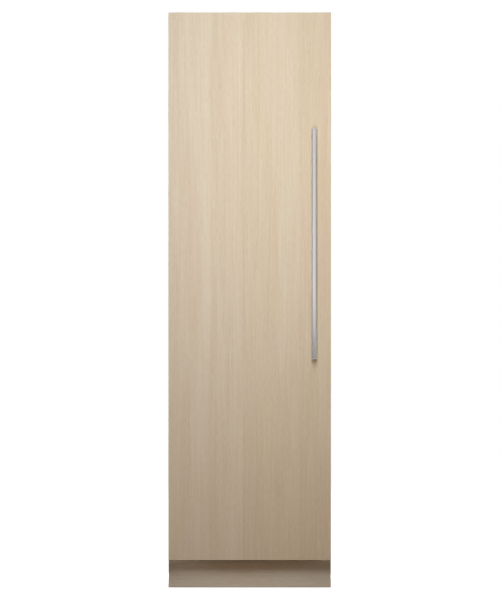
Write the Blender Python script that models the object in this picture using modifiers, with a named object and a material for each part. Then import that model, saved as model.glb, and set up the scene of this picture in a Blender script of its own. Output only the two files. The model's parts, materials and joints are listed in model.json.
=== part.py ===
"""Column refrigerator with an oak door panel and a zero-clearance link hinge.

Metres, +Z up. The front faces -Y, the hinge is on the left (-X) and the handle on the right. The
origin is the middle of the bounding box's underside. Depths are measured back from the front face
of the oak panel, heights from the floor.
"""

import math

import bmesh
import bpy
from mathutils import Matrix, Vector

# Driving dimensions of the whole
OVERALL_HEIGHT = 2.134
OVERALL_WIDTH = 0.603
CABINET_DEPTH = 0.543
PANEL_THICKNESS = 0.019
DOOR_THICKNESS = 0.055
GASKET_GAP = 0.012
HANDLE_PROJECTION = 0.042
TOE_KICK_HEIGHT = 0.102
TOE_KICK_RECESS = 0.075
TOP_HINGE_SPACE = 0.030
BOTTOM_HINGE_SPACE = 0.038
SEAT_GAP = 0.0003
OVERRUN = 0.010
ROUND_SIDES = 24

# Cabinet walls, sheet outside, foam, moulded liner inside
SHEET = 0.001
LINER_WALL = 0.0015
SIDE_WALL = 0.045
DRAWER_ZONE_WALL = 0.078
TOP_WALL = 0.050
FLOOR_WALL = 0.050
BACK_WALL = 0.045
DRAWER_ZONE_HEIGHT = 0.430
MACHINE_TOP = 0.360

# Fittings of the cavity
FITTING_SETBACK = 0.112
SHELF_SPACING = 0.330
SHELF_HEADROOM = 0.300
SHELF_REAR_CLEARANCE = 0.004
SHELF_RIM = 0.014
SHELF_THICKNESS = 0.012
SHELF_SIDE_CLEARANCE = 0.002
GLASS_THICKNESS = 0.004
LEDGE_WIDTH = 0.010
LEDGE_HEIGHT = 0.008
DUCT_DEPTH = 0.060
DUCT_HALF_WIDTH = 0.200
DUCT_WALL = 0.002
DUCT_FOOT_CLEARANCE = 0.014
VENT_HEIGHT = 0.012
VENT_HALF_WIDTH = 0.070
VENT_FIRST = 0.090
VENT_SPACING = 0.270
VENT_HEADROOM = 0.400
EVAPORATOR_HALF_WIDTH = 0.165
EVAPORATOR_DEPTH = 0.042
EVAPORATOR_HEIGHT = 0.260
EVAPORATOR_RISE = 0.560
EVAPORATOR_FINS = 20
EVAPORATOR_FIN_SHARE = 0.45
EVAPORATOR_CORE_SHARE = 0.30
LIGHT_BAR_HALF_WIDTH = 0.180
LIGHT_BAR_DEPTH = 0.022
LIGHT_BAR_HEIGHT = 0.010
LIGHT_BAR_SETBACK = 0.062
CONTROL_HALF_WIDTH = 0.140
CONTROL_DEPTH = 0.042
CONTROL_HEIGHT = 0.014
CONTROL_SETBACK = 0.012
CONTROL_BUTTONS = 5
CONTROL_BUTTON_RADIUS = 0.0045
CONTROL_BUTTON_RISE = 0.0012

# Fans
FAN_RADIUS = 0.046
FAN_TIP_CLEARANCE = 0.006
FAN_HUB_RADIUS = 0.017
FAN_HUB_LENGTH = 0.016
FAN_BLADES = 5
FAN_BLADE_THICKNESS = 0.0016
FAN_BLADE_CHORD = 0.018
FAN_BLADE_PITCH = 32
FAN_PIN_RADIUS = 0.003
FAN_PIN_LENGTH = 0.010
FAN_SPOKE = 0.005

# Drawers
DRAWER_WALL = 0.0025
DRAWER_FRONT_THICKNESS = 0.016
DRAWER_SIDE_CLEARANCE = 0.0015
DRAWER_GAP = 0.008
DRAWER_SPACING = 0.011
DRAWER_HUMP_CLEARANCE = 0.012
DRAWER_REAR_CLEARANCE = 0.010
DRAWER_RIM = 0.003
PULL_HALF_WIDTH = 0.070
PULL_HEIGHT = 0.014
PULL_DEPTH = 0.009
RUNNER_DEPTH = 0.010
RUNNER_HEIGHT = 0.036
RUNNER_SHEET = 0.0015
RUNNER_OVERLAP = 0.001

# Base and machine compartment
BASE_CLEARANCE = 0.012
BASE_SHEET = 0.0015
TOE_KICK_THICKNESS = 0.016
TOE_KICK_FLOOR_GAP = 0.003
TOE_KICK_TOP_GAP = 0.0025
GRILLE_THICKNESS = 0.003
GRILLE_SLOTS = 14
GRILLE_SLOT_SHARE = 0.5
GRILLE_MARGIN = 0.018
FOOT_INSET = 0.060
FOOT_SETBACK = 0.062
FOOT_PAD_RADIUS = 0.019
FOOT_STEM_RADIUS = 0.005
FOOT_STEM_LENGTH = 0.062
ROLLER_RADIUS = 0.020
ROLLER_WIDTH = 0.018
ROLLER_INSET = 0.062
ROLLER_SETBACK = 0.050
ROLLER_AXLE_RADIUS = 0.003
ROLLER_EAR = 0.002
ROLLER_EAR_HALF_DEPTH = 0.011
ROLLER_EAR_HEIGHT = 0.020
ROLLER_SIDE_GAP = 0.0006
COMPRESSOR_RADIUS = 0.070
COMPRESSOR_HEIGHT = 0.160
COMPRESSOR_INSET = 0.1815
COMPRESSOR_REAR_GAP = 0.012
COMPRESSOR_FRONT_GAP = 0.014
COMPRESSOR_LEG_RADIUS = 0.008
COMPRESSOR_LEG_HEIGHT = 0.014
COMPRESSOR_PLATE = 0.003
COMPRESSOR_PLATE_HALF_WIDTH = 0.085
COMPRESSOR_PLATE_HALF_DEPTH = 0.058
COMPRESSOR_LEG_INSET = 0.012
STUB_RISE = 0.085
STUB_RADIUS = 0.005
STUB_LENGTH = 0.014
DRIP_TRAY_HEIGHT = 0.034
DRIP_TRAY_WALL = 0.002
DRIP_TRAY_MARGIN = 0.004
CONDENSER_INSET = 0.1165
CONDENSER_FRONT = 0.045
CONDENSER_PASSES = 8
CONDENSER_PITCH = 0.026
CONDENSER_RISE = 0.050
PIPE_RADIUS = 0.0035
PIPE_SIDES_RESOLUTION = 2
BEND_STEPS = 5
BEND_SHARE = 0.48
RAIL_THICKNESS = 0.003
RAIL_INSET = 0.040
RAIL_MARGIN = 0.012
SHROUD_THICKNESS = 0.002
SHROUD_GAP = 0.030
CONDENSER_FAN_INSET = 0.1915
REAR_COVER_SHEET = 0.0015
REAR_COVER_SLOTS = 12
REAR_COVER_SLOT_WIDTH = 0.008
REAR_COVER_SLOT_HEIGHT = 0.120
REAR_COVER_SLOT_PITCH = 0.022
INLET_HALF_WIDTH = 0.0140
INLET_HALF_HEIGHT = 0.0105
INLET_DEPTH = 0.020
INLET_WALL = 0.0022
INLET_INSET = 0.0715
INLET_HEIGHT = 0.070
INLET_PIN = 0.0022
INLET_PIN_SPACING = 0.007

# Hinge: side of the rhombus, spacing of the second pins, directions of the two arms in degrees
HINGE_ARM = 0.070
HINGE_OFFSET = 0.036
CABINET_ARM_ANGLE = 65
DOOR_ARM_ANGLE = 30
LINK_HALF_WIDTH = 0.008
LINK_THICKNESS = 0.005
LAYER_GAP = 0.0005
BRACKET_SHEET = 0.004
PIN_RADIUS = 0.0040
PIN_CLEARANCE = 0.0003
OPEN_PIN_CLEARANCE = 0.0006
BRACKET_EYE = 0.011
BRACKET_FOOT_CLEARANCE = 0.009
BRACKET_FOOT_LENGTH = 0.045
BRACKET_FOOT_WIDTH = 0.120
DOOR_BRACKET_LENGTH = 0.100

# Door
DOOR_SIDE_CLEARANCE = 0.002
GASKET_WIDTH = 0.022
GASKET_INSET = 0.010
DYKE_WIDTH = 0.016
DYKE_PROJECTION = 0.056
DYKE_INSET = 0.0665
INNER_DOOR_RISE = 0.010
DOOR_SHELF_FIRST = 0.690
DOOR_SHELF_SPACING = 0.330
DOOR_SHELF_HEADROOM = 0.150
DOOR_SHELF_DEPTH = 0.100
DOOR_SHELF_HEIGHT = 0.095
DOOR_SHELF_WALL = 0.003
DOOR_SHELF_LEDGE = 0.014
DYKE_END_MARGIN = 0.030
PANEL_EDGE = 0.0008

# Handle
HANDLE_FROM_EDGE = 0.0625
HANDLE_WIDTH = 0.017
HANDLE_BAR_DEPTH = 0.012
HANDLE_BOTTOM = 0.848
HANDLE_LENGTH = 0.856
HANDLE_EDGE = 0.0020
POST_HEIGHT = 0.119
POST_BASE_WIDTH = 0.020
POST_TOP_HEIGHT = 0.104
POST_EDGE = 0.0015

# Places that follow from them
HALF_WIDTH = OVERALL_WIDTH / 2
TOTAL_DEPTH = HANDLE_PROJECTION + PANEL_THICKNESS + DOOR_THICKNESS + GASKET_GAP + CABINET_DEPTH
PANEL_FRONT = HANDLE_PROJECTION - TOTAL_DEPTH / 2
DOOR_FRONT = PANEL_FRONT + PANEL_THICKNESS
DOOR_BACK = DOOR_FRONT + DOOR_THICKNESS
CABINET_FRONT = DOOR_BACK + GASKET_GAP
CABINET_BACK = CABINET_FRONT + CABINET_DEPTH
DOOR_BOTTOM = TOE_KICK_HEIGHT + BOTTOM_HINGE_SPACE
DOOR_TOP = OVERALL_HEIGHT - TOP_HINGE_SPACE
CAVITY_HALF = HALF_WIDTH - SIDE_WALL
DRAWER_ZONE_HALF = HALF_WIDTH - DRAWER_ZONE_WALL
CAVITY_TOP = DOOR_TOP - TOP_WALL
CAVITY_FLOOR = DOOR_BOTTOM + FLOOR_WALL
CAVITY_BACK = CABINET_BACK - BACK_WALL
DRAWER_ZONE_TOP = CAVITY_FLOOR + DRAWER_ZONE_HEIGHT
TRAY_REACH = COMPRESSOR_RADIUS + DRIP_TRAY_MARGIN
COMPRESSOR_X = COMPRESSOR_INSET - HALF_WIDTH
COMPRESSOR_Y = CABINET_BACK - COMPRESSOR_REAR_GAP - COMPRESSOR_RADIUS
MACHINE_FRONT = COMPRESSOR_Y - TRAY_REACH - COMPRESSOR_FRONT_GAP
HUMP_FRONT = MACHINE_FRONT - BACK_WALL
HUMP_TOP = MACHINE_TOP + BACK_WALL
FITTING_FRONT = CABINET_FRONT + FITTING_SETBACK
DUCT_FRONT = CAVITY_BACK - DUCT_DEPTH
FAN_OPENING_RADIUS = FAN_RADIUS + FAN_TIP_CLEARANCE
CONDENSER_HALF_WIDTH = HALF_WIDTH - CONDENSER_INSET
SHELF_COUNT = int((CAVITY_TOP - SHELF_HEADROOM - DRAWER_ZONE_TOP) / SHELF_SPACING)
DOOR_SHELF_RUN = DOOR_TOP - DOOR_SHELF_HEADROOM - DOOR_SHELF_FIRST - DOOR_SHELF_HEIGHT
DOOR_SHELF_COUNT = int(DOOR_SHELF_RUN / DOOR_SHELF_SPACING) + 1
BASE_TOP = BASE_CLEARANCE + BASE_SHEET
TOE_KICK_FRONT = PANEL_FRONT + TOE_KICK_RECESS
GRILLE_FRONT = TOE_KICK_FRONT + TOE_KICK_THICKNESS + SEAT_GAP
BASE_FRONT = GRILLE_FRONT + GRILLE_THICKNESS + SEAT_GAP
HINGE_LINE = Vector((-HALF_WIDTH, PANEL_FRONT, 0))
HANDLE_CENTRE = HALF_WIDTH - HANDLE_FROM_EDGE

# Colour, roughness and metallic value of each finish
FINISHES = {
    "oak": ((0.60, 0.48, 0.33), 0.55, 0.0),
    "oak_end": ((0.52, 0.41, 0.28), 0.60, 0.0),
    "brushed_steel": ((0.61, 0.61, 0.60), 0.32, 1.0),
    "steel_sheet": ((0.60, 0.61, 0.62), 0.40, 1.0),
    "zinc": ((0.66, 0.67, 0.68), 0.38, 1.0),
    "white_sheet": ((0.82, 0.82, 0.80), 0.40, 0.0),
    "liner": ((0.86, 0.86, 0.85), 0.35, 0.0),
    "foam": ((0.78, 0.72, 0.52), 0.90, 0.0),
    "clear": ((0.80, 0.86, 0.86), 0.08, 0.0),
    "glass": ((0.74, 0.84, 0.82), 0.05, 0.0),
    "lamp": ((0.95, 0.94, 0.90), 0.30, 0.0),
    "black_plastic": ((0.03, 0.03, 0.03), 0.50, 0.0),
    "grey_plastic": ((0.35, 0.36, 0.37), 0.50, 0.0),
    "rubber": ((0.10, 0.10, 0.10), 0.80, 0.0),
    "copper": ((0.72, 0.40, 0.26), 0.35, 1.0),
    "aluminium": ((0.70, 0.71, 0.72), 0.35, 1.0),
    "black_steel": ((0.04, 0.04, 0.05), 0.40, 0.3),
}

for leftover in list(bpy.data.objects):
    bpy.data.objects.remove(leftover, do_unlink=True)

parts = bpy.data.collections.new("column_refrigerator")
cutters = bpy.data.collections.new("cutters")
bpy.context.scene.collection.children.link(parts)
bpy.context.scene.collection.children.link(cutters)


def place(name, mesh, finish):
    """Put a mesh in the scene: a sub-part with its own material, or a tool when it has no finish."""
    piece = bpy.data.objects.new(name, mesh)
    if finish is None:
        piece.hide_render = True
        piece.display_type = "WIRE"
        cutters.objects.link(piece)
        return piece
    colour, roughness, metallic = FINISHES[finish]
    material = bpy.data.materials.new(name)
    material.use_nodes = True
    shader = material.node_tree.nodes["Principled BSDF"]
    shader.inputs["Base Color"].default_value = (*colour, 1)
    shader.inputs["Roughness"].default_value = roughness
    shader.inputs["Metallic"].default_value = metallic
    mesh.materials.append(material)
    parts.objects.link(piece)
    return piece


def mesh_from(name, shape):
    mesh = bpy.data.meshes.new(name)
    shape.to_mesh(mesh)
    shape.free()
    return mesh


def box(name, across, along, up, finish=None):
    """A block between two values on each axis."""
    spans = [high - low for low, high in (across, along, up)]
    middle = [(high + low) / 2 for low, high in (across, along, up)]
    shape = bmesh.new()
    bmesh.ops.create_cube(shape, size=1, matrix=Matrix.Translation(middle) @ Matrix.Diagonal((*spans, 1)))
    return place(name, mesh_from(name, shape), finish)


def rod(name, start, end, radius, finish=None, tip_radius=None):
    """A round bar from one point to another, tapering where the tip has its own radius."""
    start = Vector(start)
    run = Vector(end) - start
    turn = run.to_track_quat("Z", "Y").to_matrix().to_4x4()
    shape = bmesh.new()
    bmesh.ops.create_cone(
        shape,
        cap_ends=True,
        segments=ROUND_SIDES,
        radius1=radius,
        radius2=radius if tip_radius is None else tip_radius,
        depth=run.length,
        matrix=Matrix.Translation(start + run / 2) @ turn,
    )
    mesh = mesh_from(name, shape)
    mesh.shade_smooth()
    mesh.set_sharp_from_angle(angle=math.radians(40))
    return place(name, mesh, finish)


def mesh_of_curve(name, curve):
    """The curve's filled solid as a mesh, its caps welded to its sides."""
    source = bpy.data.objects.new(name, curve)
    cutters.objects.link(source)
    view = bpy.context.evaluated_depsgraph_get()
    mesh = bpy.data.meshes.new_from_object(source.evaluated_get(view))
    bpy.data.objects.remove(source, do_unlink=True)
    shape = bmesh.new()
    shape.from_mesh(mesh)
    bmesh.ops.remove_doubles(shape, verts=shape.verts, dist=SEAT_GAP / 100)
    shape.to_mesh(mesh)
    shape.free()
    mesh.name = name
    return mesh


def plate(name, outline, low, high, finish=None):
    """A flat outline in X and Y, between two heights."""
    curve = bpy.data.curves.new(name, "CURVE")
    curve.dimensions = "2D"
    curve.fill_mode = "BOTH"
    curve.extrude = abs(high - low) / 2
    spline = curve.splines.new("POLY")
    spline.points.add(len(outline[1:]))
    for point, (x, y) in zip(spline.points, outline):
        point.co = (x, y, 0, 1)
    spline.use_cyclic_u = True
    mesh = mesh_of_curve(name, curve)
    mesh.transform(Matrix.Translation((0, 0, (high + low) / 2)))
    return place(name, mesh, finish)


def tube(name, points, radius, finish=None):
    """A round tube through a row of points."""
    curve = bpy.data.curves.new(name, "CURVE")
    curve.dimensions = "3D"
    curve.bevel_depth = radius
    curve.bevel_resolution = PIPE_SIDES_RESOLUTION
    curve.use_fill_caps = True
    spline = curve.splines.new("POLY")
    spline.points.add(len(points[1:]))
    for point, place_on_run in zip(spline.points, points):
        point.co = (*place_on_run, 1)
    mesh = mesh_of_curve(name, curve)
    mesh.shade_smooth()
    return place(name, mesh, finish)


def turned(name, profile, finish=None):
    """A profile of radius and height, top to bottom, turned round the Z axis."""
    shape = bmesh.new()
    corners = [shape.verts.new((radius, 0, height)) for radius, height in profile]
    for first, second in zip(corners, corners[1:]):
        shape.edges.new((first, second))
    mesh = mesh_from(name, shape)
    piece = place(name, mesh, finish)
    screw = piece.modifiers.new("turn", "SCREW")
    screw.steps = ROUND_SIDES
    screw.render_steps = ROUND_SIDES
    screw.use_merge_vertices = True
    screw.merge_threshold = SEAT_GAP / 10
    return piece


def combine(piece, operation, tools):
    for tool in tools:
        step = piece.modifiers.new(operation.lower(), "BOOLEAN")
        step.operation = operation
        step.object = tool
    return piece


def cut(piece, *tools):
    return combine(piece, "DIFFERENCE", tools)


def join(piece, *tools):
    return combine(piece, "UNION", tools)


def round_edges(piece, width, segments=2):
    bevel = piece.modifiers.new("edges", "BEVEL")
    bevel.width = width
    bevel.segments = segments
    bevel.limit_method = "ANGLE"
    return piece


def pivot(name, point, carrier=None):
    """An empty on a joint's axis."""
    empty = bpy.data.objects.new(name, None)
    empty.location = point
    parts.objects.link(empty)
    if carrier is not None:
        hang(empty, carrier)
    return empty


def hang(piece, carrier):
    """Parent a piece to an empty, and leave it where it stands."""
    bpy.context.view_layer.update()
    piece.parent = carrier
    piece.matrix_parent_inverse = carrier.matrix_world.inverted()
    return piece


def mirrored(span, side):
    """A span on the right of the middle plane, or its mirror image on the left."""
    low, high = span
    return (low, high) if side > 0 else (-high, -low)


# Cabinet

def cabinet_block(name, inset, front, finish=None):
    """The cabinet's outer form, with the machine compartment left out at the lower back."""
    block = box(
        name,
        (inset - HALF_WIDTH, HALF_WIDTH - inset),
        (front, CABINET_BACK - inset),
        (DOOR_BOTTOM + inset, DOOR_TOP - inset),
        finish,
    )
    machine_room = box(
        name + "_machine_room",
        (-HALF_WIDTH - OVERRUN, HALF_WIDTH + OVERRUN),
        (MACHINE_FRONT - inset, CABINET_BACK + OVERRUN),
        (DOOR_BOTTOM - OVERRUN, MACHINE_TOP + inset),
    )
    return cut(block, machine_room)


def cavity_block(name, growth, front, finish=None):
    """The cold room, wide above, narrow round the drawers and shallow before the hump."""
    wide = box(
        name,
        (-CAVITY_HALF - growth, CAVITY_HALF + growth),
        (front, CAVITY_BACK + growth),
        (DRAWER_ZONE_TOP - growth, CAVITY_TOP + growth),
        finish,
    )
    narrow = (-DRAWER_ZONE_HALF - growth, DRAWER_ZONE_HALF + growth)
    over_hump = box(
        name + "_over_hump",
        narrow,
        (front, CAVITY_BACK + growth),
        (HUMP_TOP - growth, DRAWER_ZONE_TOP + OVERRUN),
    )
    before_hump = box(
        name + "_before_hump",
        narrow,
        (front, HUMP_FRONT + growth),
        (CAVITY_FLOOR - growth, HUMP_TOP + OVERRUN),
    )
    return join(wide, over_hump, before_hump)


outer_casing = cabinet_block("outer_casing", 0, CABINET_FRONT, "white_sheet")
cut(outer_casing, cabinet_block("casing_room", SHEET, CABINET_FRONT - OVERRUN))

FOAM_INSET = SHEET + SEAT_GAP
FOAM_FRONT = CABINET_FRONT + LINER_WALL + SEAT_GAP
cabinet_insulation = cabinet_block("cabinet_insulation", FOAM_INSET, FOAM_FRONT, "foam")
cut(
    cabinet_insulation,
    cavity_block("insulation_room", LINER_WALL + SEAT_GAP, CABINET_FRONT - OVERRUN),
)

inner_liner = cavity_block("inner_liner", LINER_WALL, CABINET_FRONT, "liner")
liner_flange = box(
    "liner_flange",
    (FOAM_INSET - HALF_WIDTH, HALF_WIDTH - FOAM_INSET),
    (CABINET_FRONT, CABINET_FRONT + LINER_WALL),
    (DOOR_BOTTOM + FOAM_INSET, DOOR_TOP - FOAM_INSET),
)
join(inner_liner, liner_flange)
cut(inner_liner, cavity_block("liner_room", 0, CABINET_FRONT - OVERRUN))

# Ledges moulded in the liner carry the shelves above and the upper drawer below
SHELF_BOTTOMS = [DRAWER_ZONE_TOP + SHELF_SPACING * (level + 1) for level in range(SHELF_COUNT)]
SHELF_SPAN = (FITTING_FRONT, DUCT_FRONT - SHELF_REAR_CLEARANCE)
UPPER_RIM_UNDERSIDE = DRAWER_ZONE_TOP - DRAWER_GAP - DRAWER_RIM
for side, hand in ((-1, "left"), (1, "right")):
    for level, underside in enumerate(SHELF_BOTTOMS):
        ledge = box(
            f"ledge_{hand}_{level + 1}",
            mirrored((CAVITY_HALF - LEDGE_WIDTH, CAVITY_HALF + LINER_WALL / 2), side),
            SHELF_SPAN,
            (underside - SEAT_GAP - LEDGE_HEIGHT, underside - SEAT_GAP),
        )
        join(inner_liner, ledge)
    drawer_ledge = box(
        f"drawer_ledge_{hand}",
        mirrored((DRAWER_ZONE_HALF - LEDGE_WIDTH, DRAWER_ZONE_HALF + LINER_WALL / 2), side),
        (FITTING_FRONT + DRAWER_FRONT_THICKNESS, CAVITY_BACK - DRAWER_REAR_CLEARANCE),
        (UPPER_RIM_UNDERSIDE - SEAT_GAP - LEDGE_HEIGHT, UPPER_RIM_UNDERSIDE - SEAT_GAP),
    )
    join(inner_liner, drawer_ledge)

# Glass shelves in their rims
RIM_HALF = CAVITY_HALF - SHELF_SIDE_CLEARANCE
GLASS_HALF = RIM_HALF - SHELF_RIM / 2
GLASS_SPAN = (SHELF_SPAN[0] + SHELF_RIM / 2, SHELF_SPAN[1] - SHELF_RIM / 2)
for level, underside in enumerate(SHELF_BOTTOMS):
    top = underside + SHELF_THICKNESS
    glass_underside = top - GLASS_THICKNESS
    frame = box(f"shelf_frame_{level + 1}", (-RIM_HALF, RIM_HALF), SHELF_SPAN, (underside, top), "grey_plastic")
    window = box(
        f"shelf_window_{level + 1}",
        (SHELF_RIM - RIM_HALF, RIM_HALF - SHELF_RIM),
        (SHELF_SPAN[0] + SHELF_RIM, SHELF_SPAN[1] - SHELF_RIM),
        (underside - OVERRUN, top + OVERRUN),
    )
    rebate = box(
        f"shelf_rebate_{level + 1}",
        (-GLASS_HALF - SEAT_GAP, GLASS_HALF + SEAT_GAP),
        (GLASS_SPAN[0] - SEAT_GAP, GLASS_SPAN[1] + SEAT_GAP),
        (glass_underside - SEAT_GAP, top + OVERRUN),
    )
    cut(frame, window, rebate)
    box(f"glass_shelf_{level + 1}", (-GLASS_HALF, GLASS_HALF), GLASS_SPAN, (glass_underside, top), "glass")

box(
    "drawer_cover",
    (-RIM_HALF, RIM_HALF),
    (FITTING_FRONT, CAVITY_BACK - DRAWER_REAR_CLEARANCE),
    (DRAWER_ZONE_TOP + SEAT_GAP, DRAWER_ZONE_TOP + SEAT_GAP + GLASS_THICKNESS),
    "glass",
)

# Lamp and controls under the ceiling
CEILING_SEAT = CAVITY_TOP - SEAT_GAP
box(
    "light_bar",
    (-LIGHT_BAR_HALF_WIDTH, LIGHT_BAR_HALF_WIDTH),
    (CABINET_FRONT + LIGHT_BAR_SETBACK, CABINET_FRONT + LIGHT_BAR_SETBACK + LIGHT_BAR_DEPTH),
    (CEILING_SEAT - LIGHT_BAR_HEIGHT, CEILING_SEAT),
    "lamp",
)
CONTROL_SPAN = (CABINET_FRONT + CONTROL_SETBACK, CABINET_FRONT + CONTROL_SETBACK + CONTROL_DEPTH)
CONTROL_UNDERSIDE = CEILING_SEAT - CONTROL_HEIGHT
control_panel = box(
    "control_panel",
    (-CONTROL_HALF_WIDTH, CONTROL_HALF_WIDTH),
    CONTROL_SPAN,
    (CONTROL_UNDERSIDE, CEILING_SEAT),
    "grey_plastic",
)
for number in range(CONTROL_BUTTONS):
    across = CONTROL_HALF_WIDTH * (2 * (number + 1) / (CONTROL_BUTTONS + 1) - 1)
    along = sum(CONTROL_SPAN) / 2
    button = rod(
        f"button_{number + 1}",
        (across, along, CONTROL_UNDERSIDE + CONTROL_BUTTON_RISE),
        (across, along, CONTROL_UNDERSIDE - CONTROL_BUTTON_RISE),
        CONTROL_BUTTON_RADIUS,
    )
    join(control_panel, button)


# Fans

def fan(name, centre, direction, finish):
    """Blades round a hub that runs on a pin, the pin's side being against the direction."""
    centre = Vector(centre)
    direction = Vector(direction)
    turn = direction.to_track_quat("Z", "Y").to_matrix().to_4x4()
    half = direction * (FAN_HUB_LENGTH / 2)
    wheel = rod(name, centre - half, centre + half, FAN_HUB_RADIUS, finish)
    for number in range(FAN_BLADES):
        reach = (FAN_HUB_RADIUS + FAN_RADIUS) / 2 - FAN_HUB_RADIUS / 4
        span = FAN_RADIUS - FAN_HUB_RADIUS / 2
        blade = box(
            f"{name}_blade_{number + 1}",
            (reach - span / 2, reach + span / 2),
            (-FAN_BLADE_CHORD / 2, FAN_BLADE_CHORD / 2),
            (-FAN_BLADE_THICKNESS / 2, FAN_BLADE_THICKNESS / 2),
        )
        pitch = Matrix.Rotation(math.radians(FAN_BLADE_PITCH), 4, "X")
        about = Matrix.Rotation(math.tau * number / FAN_BLADES, 4, "Z")
        blade.data.transform(Matrix.Translation(centre) @ turn @ about @ pitch)
        join(wheel, blade)
    bore = rod(
        name + "_bore",
        centre - half - direction * OVERRUN,
        centre - half + direction * (FAN_PIN_LENGTH + SEAT_GAP),
        FAN_PIN_RADIUS + PIN_CLEARANCE,
    )
    cut(wheel, bore)
    hang(wheel, pivot(name + "_axis", centre))
    return wheel


def fan_seat(wall, name, centre, direction, thickness):
    """A round opening in a wall, crossed by spokes with the fan's pin on them."""
    centre = Vector(centre)
    direction = Vector(direction)
    inside = centre - direction * (FAN_HUB_LENGTH / 2 + SEAT_GAP)
    outside = inside - direction * thickness
    opening = rod(
        name + "_opening",
        outside - direction * OVERRUN,
        inside + direction * OVERRUN,
        FAN_OPENING_RADIUS,
    )
    reach = FAN_OPENING_RADIUS + FAN_SPOKE
    deep = (centre.y - reach, centre.y + reach)
    spokes = (
        ((centre.x - reach, centre.x + reach), (centre.z - FAN_SPOKE / 2, centre.z + FAN_SPOKE / 2)),
        ((centre.x - FAN_SPOKE / 2, centre.x + FAN_SPOKE / 2), (centre.z - reach, centre.z + reach)),
    )
    for number, (across, up) in enumerate(spokes):
        cut(opening, box(f"{name}_spoke_{number + 1}", across, deep, up))
    boss = rod(name + "_boss", centre - direction * reach, centre + direction * reach, FAN_HUB_RADIUS)
    cut(opening, boss)
    cut(wall, opening)
    pin = rod(name + "_pin", outside + (inside - outside) / 2, inside + direction * FAN_PIN_LENGTH, FAN_PIN_RADIUS)
    join(wall, pin)


# Air duct cover with its vents, the evaporator behind it and its fan
DUCT_BOTTOM = DRAWER_ZONE_TOP + DUCT_FOOT_CLEARANCE
DUCT_TOP = CAVITY_TOP - DUCT_FOOT_CLEARANCE
DUCT_REAR = CAVITY_BACK - SEAT_GAP
air_duct_cover = box(
    "air_duct_cover",
    (-DUCT_HALF_WIDTH, DUCT_HALF_WIDTH),
    (DUCT_FRONT, DUCT_REAR),
    (DUCT_BOTTOM, DUCT_TOP),
    "white_sheet",
)
duct_room = box(
    "duct_room",
    (DUCT_WALL - DUCT_HALF_WIDTH, DUCT_HALF_WIDTH - DUCT_WALL),
    (DUCT_FRONT + DUCT_WALL, DUCT_REAR + OVERRUN),
    (DUCT_BOTTOM + DUCT_WALL, DUCT_TOP - DUCT_WALL),
)
cut(air_duct_cover, duct_room)
VENT_RUN = DUCT_TOP - VENT_HEADROOM - DUCT_BOTTOM - VENT_FIRST
for number in range(int(VENT_RUN / VENT_SPACING) + 1):
    middle = DUCT_BOTTOM + VENT_FIRST + VENT_SPACING * number
    for side in (-1, 1):
        vent = box(
            f"vent_{number + 1}_{side}",
            mirrored((VENT_HALF_WIDTH / 2, DUCT_HALF_WIDTH - VENT_HALF_WIDTH / 2), side),
            (DUCT_FRONT - OVERRUN, DUCT_FRONT + DUCT_WALL + OVERRUN),
            (middle - VENT_HEIGHT / 2, middle + VENT_HEIGHT / 2),
        )
        cut(air_duct_cover, vent)
EVAPORATOR_FAN_HEIGHT = DUCT_TOP - DUCT_WALL - FAN_OPENING_RADIUS - FAN_SPOKE - VENT_HEIGHT
EVAPORATOR_FAN_CENTRE = (0, DUCT_FRONT + DUCT_WALL + SEAT_GAP + FAN_HUB_LENGTH / 2, EVAPORATOR_FAN_HEIGHT)
fan_seat(air_duct_cover, "duct_fan", EVAPORATOR_FAN_CENTRE, (0, 1, 0), DUCT_WALL)
fan("evaporator_fan", EVAPORATOR_FAN_CENTRE, (0, 1, 0), "white_sheet")

EVAPORATOR_SPAN = (DUCT_REAR - EVAPORATOR_DEPTH, DUCT_REAR)
EVAPORATOR_BOTTOM = DUCT_BOTTOM + EVAPORATOR_RISE
evaporator = box(
    "evaporator",
    (-EVAPORATOR_HALF_WIDTH, EVAPORATOR_HALF_WIDTH),
    EVAPORATOR_SPAN,
    (EVAPORATOR_BOTTOM, EVAPORATOR_BOTTOM + EVAPORATOR_HEIGHT),
    "aluminium",
)
FIN_PITCH = 2 * EVAPORATOR_HALF_WIDTH / (EVAPORATOR_FINS - 1 + EVAPORATOR_FIN_SHARE)
FIN_DEPTH = EVAPORATOR_DEPTH * (1 - EVAPORATOR_CORE_SHARE)
for number in range(EVAPORATOR_FINS - 1):
    start = FIN_PITCH * (number + EVAPORATOR_FIN_SHARE) - EVAPORATOR_HALF_WIDTH
    slot = box(
        f"fin_slot_{number + 1}",
        (start, start + FIN_PITCH * (1 - EVAPORATOR_FIN_SHARE)),
        (EVAPORATOR_SPAN[0] - OVERRUN, EVAPORATOR_SPAN[0] + FIN_DEPTH),
        (EVAPORATOR_BOTTOM - OVERRUN, EVAPORATOR_BOTTOM + EVAPORATOR_HEIGHT + OVERRUN),
    )
    cut(evaporator, slot)


# Drawers

def tray(name, across, along, up, wall, finish):
    """An open-topped tray."""
    block = box(name, across, along, up, finish)
    room = box(
        name + "_room",
        (across[0] + wall, across[1] - wall),
        (along[0] + wall, along[1] - wall),
        (up[0] + wall, up[1] + OVERRUN),
    )
    return block, room


def drawer_front(name, half_width, up):
    front = box(
        name,
        (-half_width, half_width),
        (FITTING_FRONT, FITTING_FRONT + DRAWER_FRONT_THICKNESS),
        up,
        "clear",
    )
    pull = box(
        name + "_pull",
        (-PULL_HALF_WIDTH, PULL_HALF_WIDTH),
        (FITTING_FRONT - OVERRUN, FITTING_FRONT + PULL_DEPTH),
        (up[1] - PULL_HEIGHT, up[1] + OVERRUN),
    )
    return cut(front, pull)


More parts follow.
